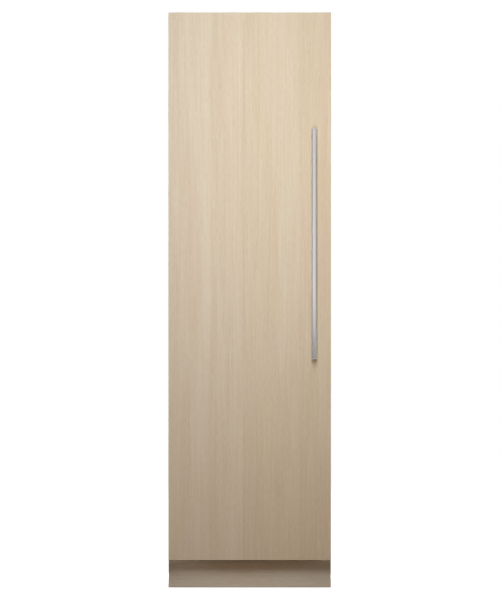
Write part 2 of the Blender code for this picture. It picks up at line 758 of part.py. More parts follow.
DRAWER_BODY_FRONT = FITTING_FRONT + DRAWER_FRONT_THICKNESS + SEAT_GAP
UPPER_TOP = UPPER_RIM_UNDERSIDE + DRAWER_RIM
UPPER_BOTTOM = HUMP_TOP + DRAWER_HUMP_CLEARANCE
UPPER_RIM_HALF = DRAWER_ZONE_HALF - DRAWER_SIDE_CLEARANCE
UPPER_BODY_HALF = UPPER_RIM_HALF - LEDGE_WIDTH
UPPER_SPAN = (DRAWER_BODY_FRONT, CAVITY_BACK - DRAWER_REAR_CLEARANCE)
upper_drawer, upper_room = tray(
    "upper_drawer",
    (-UPPER_BODY_HALF, UPPER_BODY_HALF),
    UPPER_SPAN,
    (UPPER_BOTTOM, UPPER_TOP),
    DRAWER_WALL,
    "clear",
)
upper_rim = box(
    "upper_rim",
    (-UPPER_RIM_HALF, UPPER_RIM_HALF),
    UPPER_SPAN,
    (UPPER_RIM_UNDERSIDE, UPPER_TOP),
)
join(upper_drawer, upper_rim)
cut(upper_drawer, upper_room)
upper_front = drawer_front("upper_drawer_front", UPPER_RIM_HALF, (UPPER_BOTTOM, UPPER_TOP))
upper_slide = pivot("upper_drawer_slide", (0, FITTING_FRONT, UPPER_BOTTOM))
hang(upper_drawer, upper_slide)
hang(upper_front, upper_slide)

LOWER_BOTTOM = CAVITY_FLOOR + DRAWER_GAP
LOWER_TOP = UPPER_BOTTOM - DRAWER_SPACING
LOWER_SPAN = (DRAWER_BODY_FRONT, HUMP_FRONT - DRAWER_REAR_CLEARANCE)
RUNNER_OUTER = DRAWER_ZONE_HALF - SEAT_GAP
RUNNER_INNER = RUNNER_OUTER - RUNNER_DEPTH
NEST = RUNNER_SHEET + SEAT_GAP
LOWER_BODY_HALF = RUNNER_INNER - DRAWER_SIDE_CLEARANCE
RUNNER_MIDDLE = (LOWER_BOTTOM + LOWER_TOP) / 2
lower_drawer, lower_room = tray(
    "lower_drawer",
    (-LOWER_BODY_HALF, LOWER_BODY_HALF),
    LOWER_SPAN,
    (LOWER_BOTTOM, LOWER_TOP),
    DRAWER_WALL,
    "clear",
)


def runner(name, outer, half_height, side, finish):
    """A channel open toward the drawer."""
    channel = box(
        name,
        mirrored((RUNNER_INNER, outer), side),
        LOWER_SPAN,
        (RUNNER_MIDDLE - half_height, RUNNER_MIDDLE + half_height),
        finish,
    )
    room = box(
        name + "_room",
        mirrored((RUNNER_INNER - OVERRUN, outer - RUNNER_SHEET), side),
        (LOWER_SPAN[0] - OVERRUN, LOWER_SPAN[1] + OVERRUN),
        (RUNNER_MIDDLE - half_height + RUNNER_SHEET, RUNNER_MIDDLE + half_height - RUNNER_SHEET),
    )
    return cut(channel, room)


lower_front = drawer_front("lower_drawer_front", UPPER_RIM_HALF, (LOWER_BOTTOM, LOWER_TOP))
lower_slide = pivot("lower_drawer_slide", (0, FITTING_FRONT, LOWER_BOTTOM))
for side, hand in ((-1, "left"), (1, "right")):
    half_height = RUNNER_HEIGHT / 2
    runner(f"runner_{hand}", RUNNER_OUTER, half_height, side, "zinc")
    middle = runner(f"middle_runner_{hand}", RUNNER_OUTER - NEST, half_height - NEST, side, "zinc")
    hang(middle, pivot(f"middle_runner_{hand}_slide", (side * RUNNER_OUTER, LOWER_SPAN[0], RUNNER_MIDDLE)))
    rail_half_height = half_height - NEST - NEST
    rail = box(
        f"drawer_rail_{hand}",
        mirrored((LOWER_BODY_HALF - DRAWER_WALL / 2, RUNNER_OUTER - NEST - NEST), side),
        LOWER_SPAN,
        (RUNNER_MIDDLE - rail_half_height, RUNNER_MIDDLE + rail_half_height),
    )
    join(lower_drawer, rail)
cut(lower_drawer, lower_room)
hang(lower_drawer, lower_slide)
hang(lower_front, lower_slide)


# Base, toe-kick, feet and rollers

UNDER_CASING = DOOR_BOTTOM - SEAT_GAP
UNDER_MACHINE_TOP = MACHINE_TOP - SEAT_GAP
BASE_FLOOR = BASE_TOP + SEAT_GAP
base_pan = box(
    "base_pan",
    (-HALF_WIDTH, HALF_WIDTH),
    (BASE_FRONT, CABINET_BACK),
    (BASE_CLEARANCE, BASE_TOP),
    "steel_sheet",
)
for side, hand in ((-1, "left"), (1, "right")):
    wall = mirrored((HALF_WIDTH - BASE_SHEET, HALF_WIDTH), side)
    low_wall = box(f"low_wall_{hand}", wall, (BASE_FRONT, CABINET_BACK), (BASE_CLEARANCE, UNDER_CASING))
    high_wall = box(
        f"high_wall_{hand}",
        wall,
        (MACHINE_FRONT + SEAT_GAP, CABINET_BACK),
        (BASE_CLEARANCE, UNDER_MACHINE_TOP),
    )
    join(base_pan, low_wall, high_wall)

    foot_x = side * (HALF_WIDTH - FOOT_INSET)
    foot_y = CABINET_FRONT + FOOT_SETBACK
    pad_top = BASE_CLEARANCE - SEAT_GAP
    foot = rod(f"front_foot_{hand}", (foot_x, foot_y, 0), (foot_x, foot_y, pad_top), FOOT_PAD_RADIUS, "zinc")
    stem = rod(
        f"foot_stem_{hand}",
        (foot_x, foot_y, pad_top / 2),
        (foot_x, foot_y, pad_top + FOOT_STEM_LENGTH),
        FOOT_STEM_RADIUS,
    )
    join(foot, stem)
    foot_hole = rod(
        f"foot_hole_{hand}",
        (foot_x, foot_y, 0),
        (foot_x, foot_y, BASE_TOP + OVERRUN),
        FOOT_STEM_RADIUS + PIN_CLEARANCE,
    )
    cut(base_pan, foot_hole)
    hang(foot, pivot(f"front_foot_{hand}_axis", (foot_x, foot_y, 0)))

    roller_x = side * (HALF_WIDTH - ROLLER_INSET)
    roller_y = CABINET_BACK - ROLLER_SETBACK
    half_wheel = ROLLER_WIDTH / 2
    ear_inside = half_wheel + ROLLER_SIDE_GAP
    ear_outside = ear_inside + ROLLER_EAR
    roller = rod(
        f"rear_roller_{hand}",
        (roller_x - half_wheel, roller_y, ROLLER_RADIUS),
        (roller_x + half_wheel, roller_y, ROLLER_RADIUS),
        ROLLER_RADIUS,
        "grey_plastic",
    )
    axle = rod(
        f"axle_{hand}",
        (roller_x - ear_outside, roller_y, ROLLER_RADIUS),
        (roller_x + ear_outside, roller_y, ROLLER_RADIUS),
        ROLLER_AXLE_RADIUS,
    )
    join(roller, axle)
    slot_reach = ROLLER_RADIUS + ROLLER_SIDE_GAP
    slot = box(
        f"roller_slot_{hand}",
        (roller_x - ear_inside, roller_x + ear_inside),
        (roller_y - slot_reach, roller_y + slot_reach),
        (0, BASE_TOP + OVERRUN),
    )
    cut(base_pan, slot)
    for cheek in (-1, 1):
        ear = box(
            f"ear_{hand}_{cheek}",
            tuple(sorted((roller_x + cheek * ear_inside, roller_x + cheek * ear_outside))),
            (roller_y - ROLLER_EAR_HALF_DEPTH, roller_y + ROLLER_EAR_HALF_DEPTH),
            (BASE_CLEARANCE, BASE_CLEARANCE + ROLLER_EAR_HEIGHT),
        )
        join(base_pan, ear)
    axle_hole = rod(
        f"axle_hole_{hand}",
        (roller_x - ear_outside - OVERRUN / 2, roller_y, ROLLER_RADIUS),
        (roller_x + ear_outside + OVERRUN / 2, roller_y, ROLLER_RADIUS),
        ROLLER_AXLE_RADIUS + PIN_CLEARANCE,
    )
    cut(base_pan, axle_hole)
    hang(roller, pivot(f"rear_roller_{hand}_axis", (roller_x, roller_y, ROLLER_RADIUS)))

TOE_KICK_TOP = TOE_KICK_HEIGHT - TOE_KICK_TOP_GAP
toe_kick_panel = box(
    "toe_kick_panel",
    (-HALF_WIDTH, HALF_WIDTH),
    (TOE_KICK_FRONT, TOE_KICK_FRONT + TOE_KICK_THICKNESS),
    (TOE_KICK_FLOOR_GAP, TOE_KICK_TOP),
    "oak",
)
round_edges(toe_kick_panel, PANEL_EDGE, 1)
toe_grille = box(
    "toe_grille",
    (-HALF_WIDTH, HALF_WIDTH),
    (GRILLE_FRONT, GRILLE_FRONT + GRILLE_THICKNESS),
    (BASE_CLEARANCE, TOE_KICK_TOP),
    "black_plastic",
)
SLOT_PITCH = 2 * (HALF_WIDTH - GRILLE_MARGIN) / GRILLE_SLOTS
for number in range(GRILLE_SLOTS):
    middle = GRILLE_MARGIN - HALF_WIDTH + SLOT_PITCH * (number + 1 / 2)
    half_slot = SLOT_PITCH * GRILLE_SLOT_SHARE / 2
    slot = box(
        f"grille_slot_{number + 1}",
        (middle - half_slot, middle + half_slot),
        (GRILLE_FRONT - OVERRUN, GRILLE_FRONT + GRILLE_THICKNESS + OVERRUN),
        (BASE_CLEARANCE + GRILLE_MARGIN, TOE_KICK_TOP - GRILLE_MARGIN),
    )
    cut(toe_grille, slot)


# Compressor, condenser and rear cover

def rounded_route(corners, radius):
    """The corners' route as points, each corner bent round an arc."""
    route = [Vector(corners[0])]
    for before, corner, after in zip(corners, corners[1:], corners[2:]):
        corner = Vector(corner)
        back = (Vector(before) - corner).normalized()
        onward = (Vector(after) - corner).normalized()
        opening = back.angle(onward)
        cut_back = radius / math.tan(opening / 2)
        centre = corner + (back + onward).normalized() * (radius / math.sin(opening / 2))
        first = corner + back * cut_back - centre
        last = corner + onward * cut_back - centre
        for step in range(BEND_STEPS + 1):
            spoke = first.lerp(last, step / BEND_STEPS).normalized() * radius
            route.append(centre + spoke)
    route.append(Vector(corners[-1]))
    return route


CAN_BOTTOM = BASE_TOP + COMPRESSOR_LEG_HEIGHT + COMPRESSOR_PLATE / 2
CAN_TOP = CAN_BOTTOM + COMPRESSOR_HEIGHT
CAN_PROFILE_SHARES = (
    (0.00, 1.00),
    (0.45, 0.98),
    (0.80, 0.90),
    (0.96, 0.78),
    (1.00, 0.62),
    (1.00, 0.20),
    (0.94, 0.08),
    (0.78, 0.00),
    (0.00, 0.00),
)
compressor = turned(
    "compressor",
    [
        (COMPRESSOR_RADIUS * across, CAN_BOTTOM + COMPRESSOR_HEIGHT * up)
        for across, up in CAN_PROFILE_SHARES
    ],
    "black_steel",
)
compressor.location = (COMPRESSOR_X, COMPRESSOR_Y, 0)
mount_plate = box(
    "mount_plate",
    (COMPRESSOR_X - COMPRESSOR_PLATE_HALF_WIDTH, COMPRESSOR_X + COMPRESSOR_PLATE_HALF_WIDTH),
    (COMPRESSOR_Y - COMPRESSOR_PLATE_HALF_DEPTH, COMPRESSOR_Y + COMPRESSOR_PLATE_HALF_DEPTH),
    (BASE_TOP + COMPRESSOR_LEG_HEIGHT, BASE_TOP + COMPRESSOR_LEG_HEIGHT + COMPRESSOR_PLATE),
)
join(compressor, mount_plate)
for side in (-1, 1):
    for end in (-1, 1):
        leg_x = COMPRESSOR_X + side * (COMPRESSOR_PLATE_HALF_WIDTH - COMPRESSOR_LEG_INSET)
        leg_y = COMPRESSOR_Y + end * (COMPRESSOR_PLATE_HALF_DEPTH - COMPRESSOR_LEG_INSET)
        leg = rod(
            f"leg_{side}_{end}",
            (leg_x, leg_y, BASE_FLOOR),
            (leg_x, leg_y, BASE_TOP + COMPRESSOR_LEG_HEIGHT + COMPRESSOR_PLATE / 2),
            COMPRESSOR_LEG_RADIUS,
        )
        join(compressor, leg)
STUB_HEIGHT = CAN_BOTTOM + STUB_RISE
STUB_FRONT = COMPRESSOR_Y - COMPRESSOR_RADIUS - STUB_LENGTH
stub = rod(
    "stub",
    (COMPRESSOR_X, STUB_FRONT, STUB_HEIGHT),
    (COMPRESSOR_X, COMPRESSOR_Y, STUB_HEIGHT),
    STUB_RADIUS,
)
join(compressor, stub)

drip_tray, drip_room = tray(
    "drip_tray",
    (COMPRESSOR_X - TRAY_REACH, COMPRESSOR_X + TRAY_REACH),
    (COMPRESSOR_Y - TRAY_REACH, COMPRESSOR_Y + TRAY_REACH),
    (CAN_TOP + SEAT_GAP, CAN_TOP + SEAT_GAP + DRIP_TRAY_HEIGHT),
    DRIP_TRAY_WALL,
    "black_plastic",
)
cut(drip_tray, drip_room)

# The condenser's tube runs to and fro, leaves at the left and ends at the compressor's stub
SHROUD_BACK = MACHINE_FRONT - SHROUD_GAP
CONDENSER_Y = CABINET_FRONT + CONDENSER_FRONT
CONDENSER_Z = BASE_TOP + CONDENSER_RISE
BEND_RADIUS = CONDENSER_PITCH * BEND_SHARE
corners = []
for number in range(CONDENSER_PASSES):
    along = CONDENSER_Y + CONDENSER_PITCH * number
    heading = 1 if number % 2 == 0 else -1
    corners.append((-heading * CONDENSER_HALF_WIDTH, along, CONDENSER_Z))
    corners.append((heading * CONDENSER_HALF_WIDTH, along, CONDENSER_Z))
PIPE_TURN = (SHROUD_BACK + STUB_FRONT) / 2
corners.append((-CONDENSER_HALF_WIDTH, PIPE_TURN, CONDENSER_Z))
corners.append((COMPRESSOR_X, PIPE_TURN, STUB_HEIGHT))
corners.append((COMPRESSOR_X, STUB_FRONT - SEAT_GAP, STUB_HEIGHT))
condenser = tube("condenser", rounded_route(corners, BEND_RADIUS), PIPE_RADIUS, "copper")
for side in (-1, 1):
    rail_x = side * (CONDENSER_HALF_WIDTH - RAIL_INSET)
    rail = box(
        f"rail_{side}",
        (rail_x - RAIL_THICKNESS / 2, rail_x + RAIL_THICKNESS / 2),
        (CONDENSER_Y - RAIL_MARGIN, CONDENSER_Y + CONDENSER_PITCH * (CONDENSER_PASSES - 1) + RAIL_MARGIN),
        (BASE_FLOOR, CONDENSER_Z + RAIL_MARGIN),
    )
    join(condenser, rail)

INNER_HALF = HALF_WIDTH - BASE_SHEET - SEAT_GAP
fan_shroud = box(
    "condenser_fan_shroud",
    (-INNER_HALF, INNER_HALF),
    (SHROUD_BACK - SHROUD_THICKNESS, SHROUD_BACK),
    (BASE_FLOOR, UNDER_CASING),
    "steel_sheet",
)
pipe_hole = rod(
    "pipe_hole",
    (-CONDENSER_HALF_WIDTH, SHROUD_BACK - SHROUD_THICKNESS - OVERRUN, CONDENSER_Z),
    (-CONDENSER_HALF_WIDTH, SHROUD_BACK + OVERRUN, CONDENSER_Z),
    PIPE_RADIUS + OPEN_PIN_CLEARANCE,
)
cut(fan_shroud, pipe_hole)
CONDENSER_FAN_CENTRE = (
    HALF_WIDTH - CONDENSER_FAN_INSET,
    SHROUD_BACK + SEAT_GAP + FAN_HUB_LENGTH / 2,
    (BASE_FLOOR + UNDER_CASING) / 2,
)
fan_seat(fan_shroud, "shroud", CONDENSER_FAN_CENTRE, (0, 1, 0), SHROUD_THICKNESS)
fan("condenser_fan", CONDENSER_FAN_CENTRE, (0, 1, 0), "black_plastic")

rear_cover = box(
    "rear_cover",
    (-INNER_HALF, INNER_HALF),
    (CABINET_BACK - REAR_COVER_SHEET, CABINET_BACK),
    (BASE_FLOOR, UNDER_MACHINE_TOP),
    "steel_sheet",
)
SLOTS_MIDDLE = (BASE_FLOOR + UNDER_MACHINE_TOP) / 2
for number in range(REAR_COVER_SLOTS):
    middle = REAR_COVER_SLOT_PITCH * (number + 1 / 2 - REAR_COVER_SLOTS / 2)
    slot = box(
        f"rear_slot_{number + 1}",
        (middle - REAR_COVER_SLOT_WIDTH / 2, middle + REAR_COVER_SLOT_WIDTH / 2),
        (CABINET_BACK - REAR_COVER_SHEET - OVERRUN, CABINET_BACK + OVERRUN),
        (SLOTS_MIDDLE - REAR_COVER_SLOT_HEIGHT / 2, SLOTS_MIDDLE + REAR_COVER_SLOT_HEIGHT / 2),
    )
    cut(rear_cover, slot)

INLET_X = HALF_WIDTH - INLET_INSET
INLET_ACROSS = (INLET_X - INLET_HALF_WIDTH, INLET_X + INLET_HALF_WIDTH)
INLET_UP = (INLET_HEIGHT - INLET_HALF_HEIGHT, INLET_HEIGHT + INLET_HALF_HEIGHT)
inlet_hole = box(
    "inlet_hole",
    (INLET_ACROSS[0] - SEAT_GAP, INLET_ACROSS[1] + SEAT_GAP),
    (CABINET_BACK - INLET_DEPTH, CABINET_BACK + OVERRUN),
    (INLET_UP[0] - SEAT_GAP, INLET_UP[1] + SEAT_GAP),
)
cut(rear_cover, inlet_hole)
power_inlet = box(
    "power_inlet",
    INLET_ACROSS,
    (CABINET_BACK - INLET_DEPTH, CABINET_BACK),
    INLET_UP,
    "black_plastic",
)
inlet_room = box(
    "inlet_room",
    (INLET_ACROSS[0] + INLET_WALL, INLET_ACROSS[1] - INLET_WALL),
    (CABINET_BACK - INLET_DEPTH + INLET_WALL, CABINET_BACK + OVERRUN),
    (INLET_UP[0] + INLET_WALL, INLET_UP[1] - INLET_WALL),
)
cut(power_inlet, inlet_room)
for number in (-1, 0, 1):
    pin_x = INLET_X + number * INLET_PIN_SPACING
    contact = box(
        f"contact_{number}",
        (pin_x - INLET_PIN / 2, pin_x + INLET_PIN / 2),
        (CABINET_BACK - INLET_DEPTH + INLET_WALL / 2, CABINET_BACK - INLET_WALL),
        (INLET_HEIGHT - INLET_PIN, INLET_HEIGHT + INLET_PIN),
    )
    join(power_inlet, contact)


# Hinges: the same four links above and below the door, mirrored in height. Both pairs of parallel
# links close a rhombus whose fourth corner is the panel's front left edge, so the door turns about
# that edge.

def direction(degrees):
    return Vector((math.cos(math.radians(degrees)), math.sin(math.radians(degrees)), 0))


CABINET_ARM = direction(CABINET_ARM_ANGLE)
DOOR_ARM = direction(DOOR_ARM_ANGLE)
CABINET_PIN = HINGE_LINE + CABINET_ARM * HINGE_ARM
DOOR_PIN = HINGE_LINE + DOOR_ARM * HINGE_ARM
CROSSING = CABINET_PIN + DOOR_ARM * HINGE_ARM
CABINET_ROCKER_PIN = CABINET_PIN + CABINET_ARM * HINGE_OFFSET
DOOR_ROCKER_PIN = DOOR_PIN + DOOR_ARM * HINGE_OFFSET
ARM_END = DOOR_ROCKER_PIN + CABINET_ARM * HINGE_ARM
LINK_END = CABINET_ROCKER_PIN + DOOR_ARM * HINGE_ARM

DOOR_BRACKET_LAYER = (SEAT_GAP, SEAT_GAP + BRACKET_SHEET)
LOWER_LINK_LAYER = (DOOR_BRACKET_LAYER[1] + LAYER_GAP, DOOR_BRACKET_LAYER[1] + LAYER_GAP + LINK_THICKNESS)
UPPER_LINK_LAYER = (LOWER_LINK_LAYER[1] + LAYER_GAP, LOWER_LINK_LAYER[1] + LAYER_GAP + LINK_THICKNESS)
CABINET_BRACKET_LAYER = (UPPER_LINK_LAYER[1] + LAYER_GAP, UPPER_LINK_LAYER[1] + LAYER_GAP + BRACKET_SHEET)


def bar_outline(start, end):
    """A bar with round ends about its two pins."""
    heading = math.atan2(end.y - start.y, end.x - start.x)
    outline = []
    for centre, first in ((end, heading - math.pi / 2), (start, heading + math.pi / 2)):
        for step in range(ROUND_SIDES // 2 + 1):
            angle = first + math.tau * step / ROUND_SIDES
            outline.append(
                (centre.x + LINK_HALF_WIDTH * math.cos(angle), centre.y + LINK_HALF_WIDTH * math.sin(angle))
            )
    return outline


def hinge(level, base, up):
    """The pieces of one hinge, stacked away from the door. Returns the two that ride on the door."""

    def span(layer):
        return tuple(sorted((base + up * layer[0], base + up * layer[1])))

    def upright(name, point, start, end, radius):
        return rod(
            f"{name}_{level}",
            (point.x, point.y, base + up * start),
            (point.x, point.y, base + up * end),
            radius,
        )

    def bar(name, start, end, layer):
        return plate(f"{name}_{level}", bar_outline(start, end), *span(layer), "zinc")

    def bore(link, name, point, layer, clearance):
        reach = (layer[0] - LINK_THICKNESS, layer[1] + LINK_THICKNESS)
        cut(link, upright(name, point, *reach, PIN_RADIUS + clearance))

    def link_pin(link, name, point):
        root = sum(LOWER_LINK_LAYER) / 2
        join(link, upright(name, point, root, UPPER_LINK_LAYER[1] + LAYER_GAP / 2, PIN_RADIUS))

    arm = bar("hinge_arm", CABINET_PIN, ARM_END, UPPER_LINK_LAYER)
    bore(arm, "arm_cabinet_bore", CABINET_PIN, UPPER_LINK_LAYER, PIN_CLEARANCE)
    bore(arm, "arm_crossing_bore", CROSSING, UPPER_LINK_LAYER, PIN_CLEARANCE)
    bore(arm, "arm_end_bore", ARM_END, UPPER_LINK_LAYER, OPEN_PIN_CLEARANCE)
    cabinet_rocker = bar("cabinet_rocker", CABINET_ROCKER_PIN, LINK_END, UPPER_LINK_LAYER)
    bore(cabinet_rocker, "rocker_bore", CABINET_ROCKER_PIN, UPPER_LINK_LAYER, PIN_CLEARANCE)
    bore(cabinet_rocker, "rocker_end_bore", LINK_END, UPPER_LINK_LAYER, OPEN_PIN_CLEARANCE)

    link = bar("hinge_link", DOOR_PIN, LINK_END, LOWER_LINK_LAYER)
    bore(link, "link_door_bore", DOOR_PIN, LOWER_LINK_LAYER, OPEN_PIN_CLEARANCE)
    link_pin(link, "crossing_pin", CROSSING)
    link_pin(link, "link_end_pin", LINK_END)
    door_rocker = bar("door_rocker", DOOR_ROCKER_PIN, ARM_END, LOWER_LINK_LAYER)
    bore(door_rocker, "door_rocker_bore", DOOR_ROCKER_PIN, LOWER_LINK_LAYER, PIN_CLEARANCE)
    link_pin(door_rocker, "arm_end_pin", ARM_END)

    bracket_x = CABINET_PIN.x - BRACKET_EYE
    foot_y = LINK_END.y + LINK_HALF_WIDTH + BRACKET_FOOT_CLEARANCE
    bracket = box(
        f"hinge_bracket_{level}",
        (bracket_x, CABINET_ROCKER_PIN.x + BRACKET_EYE),
        (CABINET_PIN.y - BRACKET_EYE, foot_y + BRACKET_SHEET),
        span(CABINET_BRACKET_LAYER),
        "zinc",
    )
    web = box(
        f"bracket_web_{level}",
        (bracket_x, bracket_x + BRACKET_FOOT_WIDTH),
        (foot_y, foot_y + BRACKET_SHEET),
        span((SEAT_GAP, CABINET_BRACKET_LAYER[1])),
    )
    sole = box(
        f"bracket_foot_{level}",
        (bracket_x, bracket_x + BRACKET_FOOT_WIDTH),
        (foot_y, foot_y + BRACKET_FOOT_LENGTH),
        span(DOOR_BRACKET_LAYER),
    )
    join(bracket, web, sole)
    bracket_root = sum(CABINET_BRACKET_LAYER) / 2
    pin_tip = UPPER_LINK_LAYER[0] - LAYER_GAP / 2
    for name, point in (("cabinet_pin", CABINET_PIN), ("cabinet_rocker_pin", CABINET_ROCKER_PIN)):
        join(bracket, upright(name, point, bracket_root, pin_tip, PIN_RADIUS))

    door_bracket = box(
        f"door_bracket_{level}",
        (DOOR_PIN.x - BRACKET_EYE, DOOR_PIN.x - BRACKET_EYE + DOOR_BRACKET_LENGTH),
        (DOOR_PIN.y - BRACKET_EYE, DOOR_ROCKER_PIN.y + BRACKET_EYE),
        span(DOOR_BRACKET_LAYER),
        "zinc",
    )
    door_root = sum(DOOR_BRACKET_LAYER) / 2
    door_tip = LOWER_LINK_LAYER[1] + LAYER_GAP / 2
    for name, point in (("door_pin", DOOR_PIN), ("door_rocker_pin", DOOR_ROCKER_PIN)):
        join(door_bracket, upright(name, point, door_root, door_tip, PIN_RADIUS))

    rise = Vector((0, 0, base))
    arm_axis = pivot(f"hinge_arm_{level}_axis", CABINET_PIN + rise)
    hang(arm, arm_axis)
    hang(link, pivot(f"hinge_link_{level}_axis", CROSSING + rise, arm_axis))
    hang(cabinet_rocker, pivot(f"cabinet_rocker_{level}_axis", CABINET_ROCKER_PIN + rise))
    return door_bracket, door_rocker


top_door_bracket, top_door_rocker = hinge("top", DOOR_TOP, 1)
bottom_door_bracket, bottom_door_rocker = hinge("bottom", DOOR_BOTTOM, -1)


# Door, turning about the line that the hinges' links hold still

door_axis = pivot("door_axis", HINGE_LINE + Vector((0, 0, DOOR_TOP)))
hang(top_door_bracket, door_axis)
hang(bottom_door_bracket, door_axis)
hang(top_door_rocker, pivot("door_rocker_top_axis", DOOR_ROCKER_PIN + Vector((0, 0, DOOR_TOP)), door_axis))
hang(
    bottom_door_rocker,
    pivot("door_rocker_bottom_axis", DOOR_ROCKER_PIN + Vector((0, 0, DOOR_BOTTOM)), door_axis),
)

DOOR_HALF = HALF_WIDTH - DOOR_SIDE_CLEARANCE
SKIN_FRONT = DOOR_FRONT + SEAT_GAP
door_skin = box(
    "door_skin",
    (-DOOR_HALF, DOOR_HALF),
    (SKIN_FRONT, DOOR_BACK),
    (DOOR_BOTTOM, DOOR_TOP),
    "steel_sheet",
)
skin_room = box(
    "skin_room",
    (SHEET - DOOR_HALF, DOOR_HALF - SHEET),
    (SKIN_FRONT + SHEET, DOOR_BACK + OVERRUN),
    (DOOR_BOTTOM + SHEET, DOOR_TOP - SHEET),
)
cut(door_skin, skin_room)

DYKE_OUTER = HALF_WIDTH - DYKE_INSET
DYKE_INNER = DYKE_OUTER - DYKE_WIDTH
INNER_DOOR_BACK = DOOR_BACK + INNER_DOOR_RISE
DYKE_BACK = DOOR_BACK + DYKE_PROJECTION
LAST_DOOR_SHELF = DOOR_SHELF_FIRST + DOOR_SHELF_SPACING * (DOOR_SHELF_COUNT - 1)
door_liner = box(
    "door_liner",
    (FOAM_INSET - DOOR_HALF, DOOR_HALF - FOAM_INSET),
    (SKIN_FRONT + FOAM_INSET, DOOR_BACK),
    (DOOR_BOTTOM + FOAM_INSET, DOOR_TOP - FOAM_INSET),
    "liner",
)
plug = box(
    "door_plug",
    (-DYKE_OUTER, DYKE_OUTER),
    (DOOR_BACK - DOOR_THICKNESS / 2, INNER_DOOR_BACK),
    (CAVITY_FLOOR, CAVITY_TOP - CONTROL_HEIGHT - LEDGE_HEIGHT),
)
join(door_liner, plug)
DYKE_SPAN = (DOOR_SHELF_FIRST - DYKE_END_MARGIN, LAST_DOOR_SHELF + DOOR_SHELF_HEIGHT + DYKE_END_MARGIN)
door_shelf_span = (INNER_DOOR_BACK + SEAT_GAP, INNER_DOOR_BACK + SEAT_GAP + DOOR_SHELF_DEPTH)
for side, hand in ((-1, "left"), (1, "right")):
    dyke = box(
        f"dyke_{hand}",
        mirrored((DYKE_INNER, DYKE_OUTER), side),
        (DOOR_BACK - DOOR_THICKNESS / 2, DYKE_BACK),
        DYKE_SPAN,
    )
    join(door_liner, dyke)
    for number in range(DOOR_SHELF_COUNT):
        seat = DOOR_SHELF_FIRST + DOOR_SHELF_SPACING * number - SEAT_GAP
        ledge = box(
            f"door_ledge_{hand}_{number + 1}",
            mirrored((DYKE_INNER - DOOR_SHELF_LEDGE, DYKE_INNER + DYKE_WIDTH / 2), side),
            (DOOR_BACK - DOOR_THICKNESS / 2, DYKE_BACK),
            (seat - LEDGE_HEIGHT, seat),
        )
        join(door_liner, ledge)

door_gasket = box(
    "door_gasket",
    (GASKET_INSET - HALF_WIDTH, HALF_WIDTH - GASKET_INSET),
    (DOOR_BACK + SEAT_GAP, CABINET_FRONT - SEAT_GAP),
    (DOOR_BOTTOM + GASKET_INSET, DOOR_TOP - GASKET_INSET),
    "grey_plastic",
)
GASKET_INSIDE = GASKET_INSET + GASKET_WIDTH
gasket_room = box(
    "gasket_room",
    (GASKET_INSIDE - HALF_WIDTH, HALF_WIDTH - GASKET_INSIDE),
    (DOOR_BACK - OVERRUN, CABINET_FRONT + OVERRUN),
    (DOOR_BOTTOM + GASKET_INSIDE, DOOR_TOP - GASKET_INSIDE),
)
cut(door_gasket, gasket_room)

for number in range(DOOR_SHELF_COUNT):
    foot = DOOR_SHELF_FIRST + DOOR_SHELF_SPACING * number
    door_shelf, shelf_room = tray(
        f"door_shelf_{number + 1}",
        (SEAT_GAP - DYKE_INNER, DYKE_INNER - SEAT_GAP),
        door_shelf_span,
        (foot, foot + DOOR_SHELF_HEIGHT),
        DOOR_SHELF_WALL,
        "clear",
    )
    cut(door_shelf, shelf_room)
    hang(door_shelf, door_axis)

door_panel = box(
    "door_panel",
    (-HALF_WIDTH, HALF_WIDTH),
    (PANEL_FRONT, DOOR_FRONT),
    (TOE_KICK_HEIGHT, OVERALL_HEIGHT),
    "oak",
)
round_edges(door_panel, PANEL_EDGE, 1)

# Handle: a flat bar whose long posts taper from the panel to the bar's back
BAR_FRONT = PANEL_FRONT - HANDLE_PROJECTION
BAR_BACK = BAR_FRONT + HANDLE_BAR_DEPTH
HANDLE_TOP = HANDLE_BOTTOM + HANDLE_LENGTH
handle_bar = box(
    "handle_bar",
    (HANDLE_CENTRE - HANDLE_WIDTH / 2, HANDLE_CENTRE + HANDLE_WIDTH / 2),
    (BAR_FRONT, BAR_BACK),
    (HANDLE_BOTTOM, HANDLE_TOP),
    "brushed_steel",
)
round_edges(handle_bar, HANDLE_EDGE, 3)


def handle_post(name, end, inward):
    """A block on the panel whose front narrows to the bar, its outer end level with the bar's end."""
    post = box(
        name,
        (HANDLE_CENTRE - POST_BASE_WIDTH / 2, HANDLE_CENTRE + POST_BASE_WIDTH / 2),
        (BAR_BACK + SEAT_GAP, PANEL_FRONT - SEAT_GAP),
        tuple(sorted((end, end + inward * POST_HEIGHT))),
        "brushed_steel",
    )
    for corner in post.data.vertices:
        if corner.co.y < (BAR_BACK + PANEL_FRONT) / 2:
            corner.co.x = HANDLE_CENTRE + math.copysign(HANDLE_WIDTH / 2, corner.co.x - HANDLE_CENTRE)
            if abs(corner.co.z - end) > POST_HEIGHT / 2:
                corner.co.z = end + inward * POST_TOP_HEIGHT
    return round_edges(post, POST_EDGE, 2)


upper_post = handle_post("handle_post_upper", HANDLE_TOP, -1)
lower_post = handle_post("handle_post_lower", HANDLE_BOTTOM, 1)

for piece in (door_skin, door_liner, door_gasket, door_panel, handle_bar, upper_post, lower_post):
    hang(piece, door_axis)
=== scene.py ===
import json
import math

import bmesh
import bpy
from mathutils import Matrix, Vector


